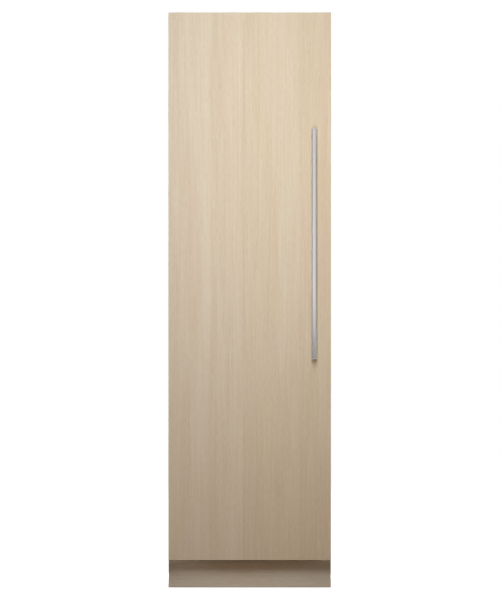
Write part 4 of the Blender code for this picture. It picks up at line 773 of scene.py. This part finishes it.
def makeCasing(plan):
    shape = copyOfNode("outer_casing")
    low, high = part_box("outer_casing")
    bmesh.ops.recalc_face_normals(shape, faces=shape.faces)
    sheet = faceOn(shape, 1, high.y)
    addField(shape, sheet, *plan["backField"])
    strips = [sheet]
    for across in plan["beadAcross"]:
        for cut in (across - plan["beadHalfWidth"], across + plan["beadHalfWidth"]):
            geom = strips + list({edge for face in strips for edge in face.edges})
            geom += list({vert for face in strips for vert in face.verts})
            made = bmesh.ops.bisect_plane(shape, geom=geom, plane_co=(cut, 0, 0), plane_no=(1, 0, 0))
            strips = [face for face in made["geom"] if isinstance(face, bmesh.types.BMFace)]
    for face in strips:
        middle = face.calc_center_median().x
        if min(abs(middle - across) for across in plan["beadAcross"]) < plan["beadHalfWidth"] / 2:
            addField(shape, face, *plan["bead"])
    for axis, level in ((0, low.x), (0, high.x), (2, high.z)):
        addField(shape, faceOn(shape, axis, level), *plan["sideField"])
    roundEdges(shape, sharpEdges(shape, angle=60, convex=True, shortest=0.1), plan["fold"])
    standFor("outer_casing", "casingWrapper", shape)
    screws = (plan["screwAcross"], plan["screwHeights"], high.y, plan["screwRadius"], plan["screwSink"])
    addBackScrews("casingScrews", *screws)


def makeRearCover(plan):
    shape = copyOfNode("rear_cover")
    low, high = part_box("rear_cover")
    for vert in shape.verts:
        if vert.co.y > high.y - touching:
            vert.co.y -= plan["recess"]
    roundEdges(shape, sharpEdges(shape, angle=60), plan["edge"], steps=1)
    standFor("rear_cover", "rearCoverSheet", shape)
    louvres = bmesh.new()
    middles = spaced(*plan["louvres"])
    half = Vector(plan["louvreSize"]) / 2
    depth = low.y - plan["louvreDepth"] + half.y
    for across in middles:
        middle = Vector((across, depth, plan["louvreHeight"]))
        addBlock(louvres, middle - half, middle + half, plan["louvreEdge"], steps=1)
    for vert in louvres.verts:
        # each blade leans back across its width
        across = min(middles, key=lambda middle: abs(vert.co.x - middle))
        share = (vert.co.x - across) / plan["louvreSize"][0] + 0.5
        vert.co.y += share * (plan["louvreDepth"] - plan["louvreGap"])
    addPiece("rearCoverLouvres", louvres, "cabinet", "base_steel")
    heights = (low.z + plan["screwInset"], high.z - plan["screwInset"])
    screws = (plan["screwAcross"], heights, high.y, plan["screwRadius"], plan["recess"])
    addBackScrews("rearCoverScrews", *screws)


makeCasing(casingPlan)
makeRearCover(rearCoverPlan)
easeNodes(shellPlans)
print("cabinet shell ready")


# what the ceiling and the back wall of the cavity carry

ductPlan = {
    "edge": 0.0012,
    "vents": (4, 0.090, 0.270),  # count, first height and spacing
    "ventHeight": 0.012,
    "ventSpan": (0.034, 0.166),
    "slatDepths": (0.0022, 0.0078),  # behind the cover's front
    "slatThickness": 0.0012,
    "slatEdge": 0.0003,
    "slatLean": math.radians(28),
    "ringDepth": 0.0011,
    "ringRadii": (0.022, 0.032, 0.042),
    "ringWire": 0.0011,
    "ringSides": 8,
}
controlPlan = {
    "edge": 0.0004,
    "buttonCount": 5,
    "dotForward": 0.011,  # from the strip's middle
    "dotRise": 0.0012,
    "dotThickness": 0.0003,
    "dotRadius": 0.0009,
}
lightPlans = {"light_bar": ("lightDiffuser", 0.0025, {"steps": 4})}


def makeDuctCover(plan):
    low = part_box("air_duct_cover")[0]
    easeNode("air_duct_cover", "ductCoverPanel", plan["edge"])
    near, far = (low.y + depth for depth in plan["slatDepths"])
    half = plan["slatThickness"] / 2
    lean = Matrix.Rotation(plan["slatLean"], 4, "X")
    slats = bmesh.new()
    count, first, spacing = plan["vents"]
    for number in range(count):
        middle = low.z + first + spacing * number
        for side in (-1, 1):
            left, right = sorted(side * end for end in plan["ventSpan"])
            for step in (-1, 0, 1):
                height = middle + step * plan["ventHeight"] / 3
                start, end = (left, near, height - half), (right, far, height + half)
                addBlock(slats, start, end, plan["slatEdge"], steps=1, turn=lean)
    addPiece("ventSlats", slats, "cabinet", "duct_cover")
    place = (0, low.y + plan["ringDepth"], middleOf(*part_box("evaporator_fan")).z)
    wire = plan["ringWire"]
    turns = [math.tau * step / plan["ringSides"] for step in range(plan["ringSides"] + 1)]
    guard = bmesh.new()
    for radius in plan["ringRadii"]:
        profile = [(radius + wire * math.cos(turn), wire * math.sin(turn)) for turn in turns]
        addTurned(guard, profile, place, (0, -1, 0), steps=48)
    addPiece("fanGuardRings", guard, "cabinet", "duct_cover")


def makeControls(plan):
    low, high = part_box("control_panel")
    easeNode("control_panel", "controlStrip", plan["edge"])
    depth = (low.y + high.y) / 2 - plan["dotForward"]
    dots = bmesh.new()
    for number in range(plan["buttonCount"]):
        across = high.x * (2 * (number + 1) / (plan["buttonCount"] + 1) - 1)
        place = Vector((across, depth, low.z + plan["dotRise"]))
        addRod(dots, place, place - Vector((0, 0, plan["dotThickness"])), plan["dotRadius"], sides=12)
    addPiece("controlDots", dots, "cabinet", "lamp", "dotLight")


makeDuctCover(ductPlan)
makeControls(controlPlan)
easeNodes(lightPlans)
print("cavity fittings ready")


# shelves, drawers and door bins, each with a metal trim along its front

trimPlan = {"rise": 0.0010, "sink": 0.0006, "edge": 0.0004}
# a trim's height, its inset from both ends, and how far it lies below the top
shelfPlan = {"glassEdge": 0.0008, "frameEdge": 0.0014, "trim": (0.0096, 0.003)}
drawerPlan = {
    "rimEdge": 0.0007,
    "frontEdge": 0.0024,
    "corners": (0.010, 0.0075),
    "cornersBehind": 0.05,  # the front's own corners stay sharp
    "trim": (0.009, 0.004, 0.003),
}
runnerPlan = {"edge": 0.0004, "pieces": {"runner": "fixedRunner", "middle_runner": "middleRunner"}}
binPlan = {"rimEdge": 0.0007, "corners": (0.012, 0.0095), "trim": (0.012, 0.012, 0.001)}


def makeTrim(name, nodeName, height, inset, drop=None, facing=-1):
    # along a node's front or back edge, halfway up where no drop is given
    low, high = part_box(nodeName)
    top = (low.z + high.z + height) / 2 if drop is None else high.z - drop
    face = low.y if facing < 0 else high.y
    near, far = sorted((face + facing * trimPlan["rise"], face - facing * trimPlan["sink"]))
    shape = bmesh.new()
    start, end = (low.x + inset, near, top - height), (high.x - inset, far, top)
    addBlock(shape, start, end, trimPlan["edge"])
    addPiece(name, shape, bodyOfNode[nodeName], "aluminium", "trimMetal")


def makeShelves(plan):
    for number in (1, 2, 3):
        frameName = f"shelf_frame_{number}"
        easeNode(f"glass_shelf_{number}", f"shelfGlass{number}", plan["glassEdge"], steps=3)
        easeNode(frameName, f"shelfFrame{number}", plan["frameEdge"], steps=3)
        makeTrim(f"shelfTrim{number}", frameName, *plan["trim"])
    easeNode("drawer_cover", "drawerCoverGlass", plan["glassEdge"], steps=3)


def makeDrawers(plan):
    for level in ("upper", "lower"):
        tray, front = f"{level}_drawer", f"{level}_drawer_front"
        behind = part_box(tray)[0].y + plan["cornersBehind"]
        easeNode(tray, f"{level}DrawerTray", plan["rimEdge"], corners=plan["corners"], behind=behind)
        easeNode(front, f"{level}DrawerFront", plan["frontEdge"], steps=3)
        makeTrim(f"{level}DrawerTrim", front, *plan["trim"])


def makeRunners(plan):
    for side in ("left", "right"):
        for part, name in plan["pieces"].items():
            easeNode(f"{part}_{side}", name + side.title(), plan["edge"], finish="zinc")


def makeDoorBins(plan):
    for number in (1, 2, 3, 4):
        nodeName = f"door_shelf_{number}"
        easeNode(nodeName, f"doorBin{number}", plan["rimEdge"], corners=plan["corners"])
        makeTrim(f"doorBinTrim{number}", nodeName, *plan["trim"], facing=1)


makeShelves(shelfPlan)
makeDrawers(drawerPlan)
makeDoorBins(binPlan)
makeRunners(runnerPlan)
print("shelves, drawers and bins ready")


# door

doorPlan = {"skinFold": 0.0008, "linerEdge": 0.0060, "linerDetail": 0.0012}

gasketPlan = {
    "folds": (0.28, 0.50, 0.72),  # shares of the gasket's depth where its bellows turn
    "waist": 0.0026,
    "width": 0.022,
    "edge": 0.0008,
}


def makeInnerDoor(plan):
    shape = copyOfNode("door_liner")
    roundEdges(shape, sharpEdges(shape, angle=60, shortest=0.3), plan["linerEdge"], steps=5)
    roundEdges(shape, sharpEdges(shape, angle=60), plan["linerDetail"])
    standFor("door_liner", "innerDoorPanel", shape)


def makeGasket(plan):
    shape = copyOfNode("door_gasket")
    low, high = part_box("door_gasket")
    levels = [low.y + (high.y - low.y) * share for share in plan["folds"]]
    for level in levels:
        geom = list(shape.faces) + list(shape.edges) + list(shape.verts)
        bmesh.ops.bisect_plane(shape, geom=geom, plane_co=(0, level, 0), plane_no=(0, 1, 0))
    for vert in shape.verts:
        if abs(vert.co.y - levels[1]) > touching:
            continue
        # the outer rim draws in and the inner rim out, so the middle fold is the narrow one
        for axis in (0, 2):
            reach = vert.co[axis] - (low[axis] + high[axis]) / 2
            half = (high[axis] - low[axis]) / 2
            if abs(abs(reach) - half) < touching:
                vert.co[axis] -= math.copysign(plan["waist"], reach)
            elif abs(abs(reach) - (half - plan["width"])) < touching:
                vert.co[axis] += math.copysign(plan["waist"], reach)
    roundEdges(shape, sharpEdges(shape, shortest=0.3), plan["edge"])
    standFor("door_gasket", "doorGasketBellows", shape, smooth=25)


easeNode("door_skin", "doorSkinTray", doorPlan["skinFold"])
makeInnerDoor(doorPlan)
makeGasket(gasketPlan)
print("door ready")


# hinges

hingePlan = {
    "edge": 0.0005,
    "bracketSheet": 0.004,
    # places across and in depth, and the head's radius and height
    "cabinetScrews": (((-0.268, -0.119), (-0.223, -0.119), (-0.178, -0.119)), 0.0052, 0.0026),
    "doorScrews": (((-0.1605, -0.2600), (-0.1605, -0.2390)), 0.0045, 0.0004),
}


def makeHinge(end, plan):
    tail = end.title()
    easeNode(f"hinge_bracket_{end}", f"cabinetBracket{tail}", plan["edge"], finish="zinc")
    easeNode(f"door_bracket_{end}", f"doorBracket{tail}", plan["edge"], finish="zinc")
    for part in ("hinge_arm", "hinge_link", "cabinet_rocker", "door_rocker"):
        easeNode(f"{part}_{end}", camelName(part) + tail, plan["edge"])
    low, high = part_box(f"hinge_bracket_{end}")
    up, base = (1, low.z) if end == "top" else (-1, high.z)
    for body in ("cabinet", "door"):
        spots, radius, height = plan[body + "Screws"]
        places = [(*spot, base + up * plan["bracketSheet"]) for spot in spots]
        addScrews(f"{body}BracketScrews{tail}", places, (0, 0, up), radius, height, body)


makeHinge("top", hingePlan)
makeHinge("bottom", hingePlan)
print("hinges ready")


# feet and rollers

footPlan = {
    "padHollow": 0.0010,
    "padRise": 0.0052,
    # how far a point lies in from the pad's rim, and its height
    "padBottom": ((0.0030, 0.0010), (0.0024, 0), (0.0008, 0), (0, 0.0010)),
    "padShoulder": ((0, -0.0012), (0.0010, -0.0002)),  # heights from the rise
    "padHub": ((0.0125, 0.0006), (0.0110, 0.0012), (0, 0.0012)),  # radius and height from the rise
    "nutRadius": 0.0098,
    "nutSpan": (0.0062, 0.0112),
    "nutEdge": 0.0006,
    "stemRadius": 0.0050,
    "stemSink": 0.001,  # the thread starts this far inside the nut
    "stemTip": (0.0012, 0.0004),  # the chamfer, in from the side and below the end
    "threadPitch": 0.0015,
    "threadDepth": 0.0006,
    "threadEnd": 0.002,  # from the stem's top
}

rollerPlan = {
    # the wheel's profile from its tread to its bore: radius and distance from the middle plane
    "rim": [
        *((0.0200, 0.0066), (0.0196, 0.0082), (0.0184, 0.0090), (0.0152, 0.0088), (0.0146, 0.0080)),
        *((0.0140, 0.0050), (0.0078, 0.0050), (0.0074, 0.0074), (0.0068, 0.0080), (0.0031, 0.0080)),
    ],
    "ribCount": 6,
    "ribPlace": (0.0056, 0.0109),  # from the middle plane, and from the axle
    "ribHalf": (0.0010, 0.0030, 0.0006),
    "ribEdge": 0.0002,
    "axle": (0.0030, 0.0005),  # radius and chamfer
}


def makeFoot(side, plan):
    nodeName = f"front_foot_{side}"
    tail = side.title()
    low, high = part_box(nodeName)
    middle = middleOf(low, high)
    place = Vector((middle.x, middle.y, low.z))
    radius = (high.x - low.x) / 2
    rise = plan["padRise"]
    profile = [(0, plan["padHollow"])]
    profile += [(radius - inset, height) for inset, height in plan["padBottom"]]
    profile += [(radius - inset, rise + height) for inset, height in plan["padShoulder"]]
    profile += [(reach, rise + height) for reach, height in plan["padHub"]]
    pad = bmesh.new()
    addTurned(pad, profile, place, (0, 0, 1), steps=40)
    nutLow, nutHigh = (place + Vector((0, 0, height)) for height in plan["nutSpan"])
    addRod(pad, nutLow, nutHigh, plan["nutRadius"], sides=6, edge=plan["nutEdge"])
    standFor(nodeName, f"levellingFoot{tail}", pad, "zinc")
    height = high.z - low.z
    start = plan["nutSpan"][1] - plan["stemSink"]
    crest, root = plan["stemRadius"], plan["stemRadius"] - plan["threadDepth"]
    tipInset, tipDrop = plan["stemTip"]
    profile = [(0, start)]
    for number in range(int((height - start - plan["threadEnd"]) / plan["threadPitch"])):
        level = start + plan["threadPitch"] * number
        profile += [(root, level), (crest, level + plan["threadPitch"] / 2)]
    profile += [(root, height - tipDrop), (crest - tipInset, height), (0, height)]
    stem = bmesh.new()
    addTurned(stem, profile, place, (0, 0, 1), steps=20)
    addPiece(f"footStem{tail}", stem, nodeName, "hinge_steel", "zinc")


def makeRoller(side, plan):
    nodeName = f"rear_roller_{side}"
    tail = side.title()
    low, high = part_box(nodeName)
    middle = middleOf(low, high)
    wheel = bmesh.new()
    addTurned(wheel, mirrored(plan["rim"]), middle, (1, 0, 0), steps=48)
    across, reach = plan["ribPlace"]
    half = Vector(plan["ribHalf"])
    for face in (-1, 1):
        for number in range(plan["ribCount"]):
            angle = math.tau * number / plan["ribCount"]
            spot = middle + Vector((face * across, math.cos(angle) * reach, math.sin(angle) * reach))
            turn = Matrix.Rotation(angle, 4, "X")
            addBlock(wheel, spot - half, spot + half, plan["ribEdge"], steps=1, turn=turn)
    standFor(nodeName, f"rearRoller{tail}", wheel)
    end = (high.x - low.x) / 2
    radius, edge = plan["axle"]
    profile = [(0, -end), (radius - edge, -end), (radius, edge - end)]
    profile += [(reach, -along) for reach, along in reversed(profile)]
    axle = bmesh.new()
    addTurned(axle, profile, middle, (1, 0, 0), steps=24)
    addPiece(f"rollerAxle{tail}", axle, nodeName, "hinge_steel", "zinc")


for side in ("left", "right"):
    makeFoot(side, footPlan)
    makeRoller(side, rollerPlan)
print("feet and rollers ready")


# machine room and evaporator

fanPlans = {
    "evaporator_fan": ("evaporatorFanWheel", 0.0005, {}),
    "condenser_fan": ("condenserFanWheel", 0.0005, {}),
    "condenser_fan_shroud": ("condenserFanWall", 0.0005, {}),
}
trayPlans = {"drip_tray": ("dripTrayPan", 0.0006, {"corners": (0.008, 0.006)})}
compressorPlan = {
    "edge": 0.0030,
    "canDepth": 0.070,  # from the compressor's back to the can's axis
    "seamHeight": 0.098,
    "seam": [(0.0685, 0.0035), (0.0712, 0.0030), (0.0720, 0.0016)],
    # corners from the can's axis, edge radius and its steps
    "terminal": (((0.0640, -0.0240, 0.066), (0.0825, 0.0240, 0.114)), 0.003, 3),
    "clip": (((0.0815, -0.004, 0.072), (0.0837, 0.004, 0.108)), 0.0006, 2),
    "pipe": (0.0040, 0.016),  # radius and bend
    "pipeSpan": (-0.060, -0.092),
    "pipeHeight": 0.118,
    "spout": [(0, 0.212), (0.0055, 0.208), (0.0075, 0.208), (0.0075, 0.322), (0.0110, 0.338)],
}
condenserPlan = {
    "railAcross": 0.145,
    "railTolerance": 0.0016,
    "railHalf": 0.0015,
    "flangeHalf": 0.0080,
    "flangeThickness": 0.0015,
    "edge": 0.0004,
    "tubeDrop": 0.012,  # the tube's middle below the rails' top
    "tubeRadius": 0.0034,
    "wires": (30, 0.009),  # count and pitch
    "wireRadius": 0.0007,
    "wireInset": 0.006,
}
evaporatorPlan = {
    "fins": (51, 0.006),
    "finThickness": 0.0004,
    "passes": 8,
    "passMargin": 0.015,
    "tubeInset": 0.0045,
    "tube": (0.0040, 0.014),  # radius and bend
}


def makeCompressor(plan):
    low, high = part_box("compressor")
    easeNode("compressor", "compressorShell", plan["edge"], steps=3)
    middle = Vector(((low.x + high.x) / 2, high.y - plan["canDepth"], 0))
    seam = bmesh.new()
    seamPlace = middle + Vector((0, 0, plan["seamHeight"]))
    addTurned(seam, mirrored(plan["seam"]), seamPlace, (0, 0, 1), steps=64)
    addPiece("compressorSeam", seam, "cabinet", "compressor_black")
    cover = bmesh.new()
    for part in ("terminal", "clip"):
        (start, end), edge, steps = plan[part]
        addBlock(cover, middle + Vector(start), middle + Vector(end), edge, steps)
    addPiece("terminalCover", cover, "cabinet", "black_plastic")
    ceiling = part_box("base_pan")[1].z
    start, end = plan["pipeSpan"]
    route = ((start, 0, plan["pipeHeight"]), (end, 0, plan["pipeHeight"]), (end, 0, ceiling))
    corners = [middle + Vector(corner) for corner in route]
    makePipe("suctionPipe", corners, *plan["pipe"], "copper")
    drain = bmesh.new()
    profile = plan["spout"] + [(plan["spout"][-1][0], ceiling), (0, ceiling)]
    addTurned(drain, profile, middle, (0, 0, 1), steps=24)
    addPiece("drainSpout", drain, "cabinet", "black_plastic")


def makeCondenser(plan):
    # the tube stays, the two rails and the wires across it are of steel
    shape = copyOfNode("condenser")
    across = plan["railAcross"]
    onRail = [
        face
        for face in shape.faces
        if all(abs(abs(vert.co.x) - across) < plan["railTolerance"] for vert in face.verts)
    ]
    depths = [vert.co.y for face in onRail for vert in face.verts]
    heights = [vert.co.z for face in onRail for vert in face.verts]
    near, far, bottom, top = min(depths), max(depths), min(heights), max(heights)
    bmesh.ops.delete(shape, geom=onRail, context="FACES")
    standFor("condenser", "condenserTube", shape, smooth=60)
    rails = bmesh.new()
    sections = ((plan["railHalf"], top), (plan["flangeHalf"], bottom + plan["flangeThickness"]))
    for middle in (-across, across):
        for half, height in sections:
            addBlock(rails, (middle - half, near, bottom), (middle + half, far, height), plan["edge"])
    addPiece("condenserRails", rails, "cabinet", "base_steel")
    wires = bmesh.new()
    radius = plan["wireRadius"]
    reach = plan["tubeRadius"] + radius
    start, end = near + plan["wireInset"], far - plan["wireInset"]
    for place in spaced(*plan["wires"]):
        for level in (top - plan["tubeDrop"] - reach, top - plan["tubeDrop"] + reach):
            addRod(wires, (place, start, level), (place, end, level), radius, sides=6)
    addPiece("condenserWires", wires, "cabinet", "base_steel")


def makeEvaporator(plan):
    # thin fins on a tube that runs to and fro through them
    low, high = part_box("evaporator")
    half = plan["finThickness"] / 2
    fins = bmesh.new()
    for across in spaced(*plan["fins"]):
        addBlock(fins, (across - half, low.y, low.z), (across + half, high.y, high.z))
    standFor("evaporator", "evaporatorFins", fins)
    reach = high.x - plan["tubeInset"]
    depth = (low.y + high.y) / 2
    pitch = (high.z - low.z - 2 * plan["passMargin"]) / (plan["passes"] - 1)
    corners = []
    for number in range(plan["passes"]):
        end = reach if number % 2 == 0 else -reach
        level = low.z + plan["passMargin"] + pitch * number
        corners += [(-end, depth, level), (end, depth, level)]
    makePipe("evaporatorTube", corners, *plan["tube"], "aluminium")


easeNodes(fanPlans)
makeCompressor(compressorPlan)
easeNodes(trayPlans)
makeCondenser(condenserPlan)
makeEvaporator(evaporatorPlan)
print("machine room ready")


# floor, and the dark cards that only one kind of ray sees

floorPlan = {
    "halfWidth": 30,
    "drop": 0.0005,
    "roughness": 0.9,
    "colour": (0.80, 0.80, 0.79),
    "bounce": (0.30, 0.205, 0.125),  # what the floor throws back on the object
    "glow": 0.62,  # beside the object, where the shadow falls
    "farGlow": 1.0,  # further out it runs into the white room
    "glowReach": (1.2, 3.2),
}

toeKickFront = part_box("toe_kick_panel")[0].y
toeCardRun = (0, panelFront - 0.16 - toeKickFront)
toeCardShade = (0.06, 0.055, 0.05)
# where a card starts and runs, both across and in depth, its height, its colour and the ray that sees it
cardPlans = {
    "lowFlag": ((-1.4, panelFront - 0.9), (2.8, 0), 0.80, (0.30, 0.30, 0.30), "glossy"),
    # one on each side, which draws the bar's rounded edges
    "leftFlag": ((-1.1, panelFront - 0.10), (0, -2.1), 2.6, (0.12, 0.12, 0.12), "glossy"),
    "rightFlag": ((1.1, panelFront - 0.10), (0, -2.1), 2.6, (0.24, 0.24, 0.24), "glossy"),
    # two low ones keep the side light out of the toe-kick's recess, and the open door clears them
    "leftToeFlag": ((-0.325, toeKickFront), toeCardRun, 0.098, toeCardShade, "diffuse"),
    "rightToeFlag": ((0.325, toeKickFront), toeCardRun, 0.098, toeCardShade, "diffuse"),
}


def makeFloor(plan):
    material, tree, shader, place = startMaterial("floorPaint")
    direct = directRays(tree)
    paint = blended(tree, direct, plan["bounce"], plan["colour"])
    surface = {"Base Color": paint, "Roughness": plan["roughness"], "Specular IOR Level": 0.0}
    fillSockets(tree, shader, surface)
    reach = addNode(tree, "VectorMath", {0: place}, operation="LENGTH").outputs["Value"]
    strength = remapped(tree, reach, *plan["glowReach"], plan["glow"], plan["farGlow"])
    glow = addNode(tree, "Emission", {"Color": (1, 1, 1), "Strength": strength}).outputs[0]
    both = addNode(tree, "AddShader", {0: shader.outputs[0], 1: glow}).outputs[0]
    mix = addNode(tree, "MixShader", {0: direct, 1: shader.outputs[0], 2: both})
    fillSockets(tree, tree.nodes["Material Output"], {"Surface": mix.outputs[0]})
    shape = bmesh.new()
    bmesh.ops.create_grid(shape, x_segments=1, y_segments=1, size=plan["halfWidth"])
    floor = addMesh("studioFloor", shape, material)
    floor.location = (0, 0, ground - plan["drop"])


def makeCard(name, corner, run, height, colour, seenBy):
    material, tree, shader = startMaterial(name + "Cloth")[:3]
    surface = {"Base Color": (0, 0, 0), "Specular IOR Level": 0.0}
    fillSockets(tree, shader, {**surface, "Emission Color": colour, "Emission Strength": 1.0})
    start, along, up = Vector((*corner, ground)), Vector((*run, 0)), Vector((0, 0, height))
    shape = bmesh.new()
    corners = (start, start + along, start + along + up, start + up)
    shape.faces.new([shape.verts.new(corner) for corner in corners])
    card = addMesh(name, shape, material)
    for ray in ("camera", "diffuse", "glossy", "transmission", "shadow", "volume_scatter"):
        setattr(card, "visible_" + ray, ray == seenBy)


makeFloor(floorPlan)
for name, plan in cardPlans.items():
    makeCard(name, *plan)
print("floor ready")

print("pieces ready")
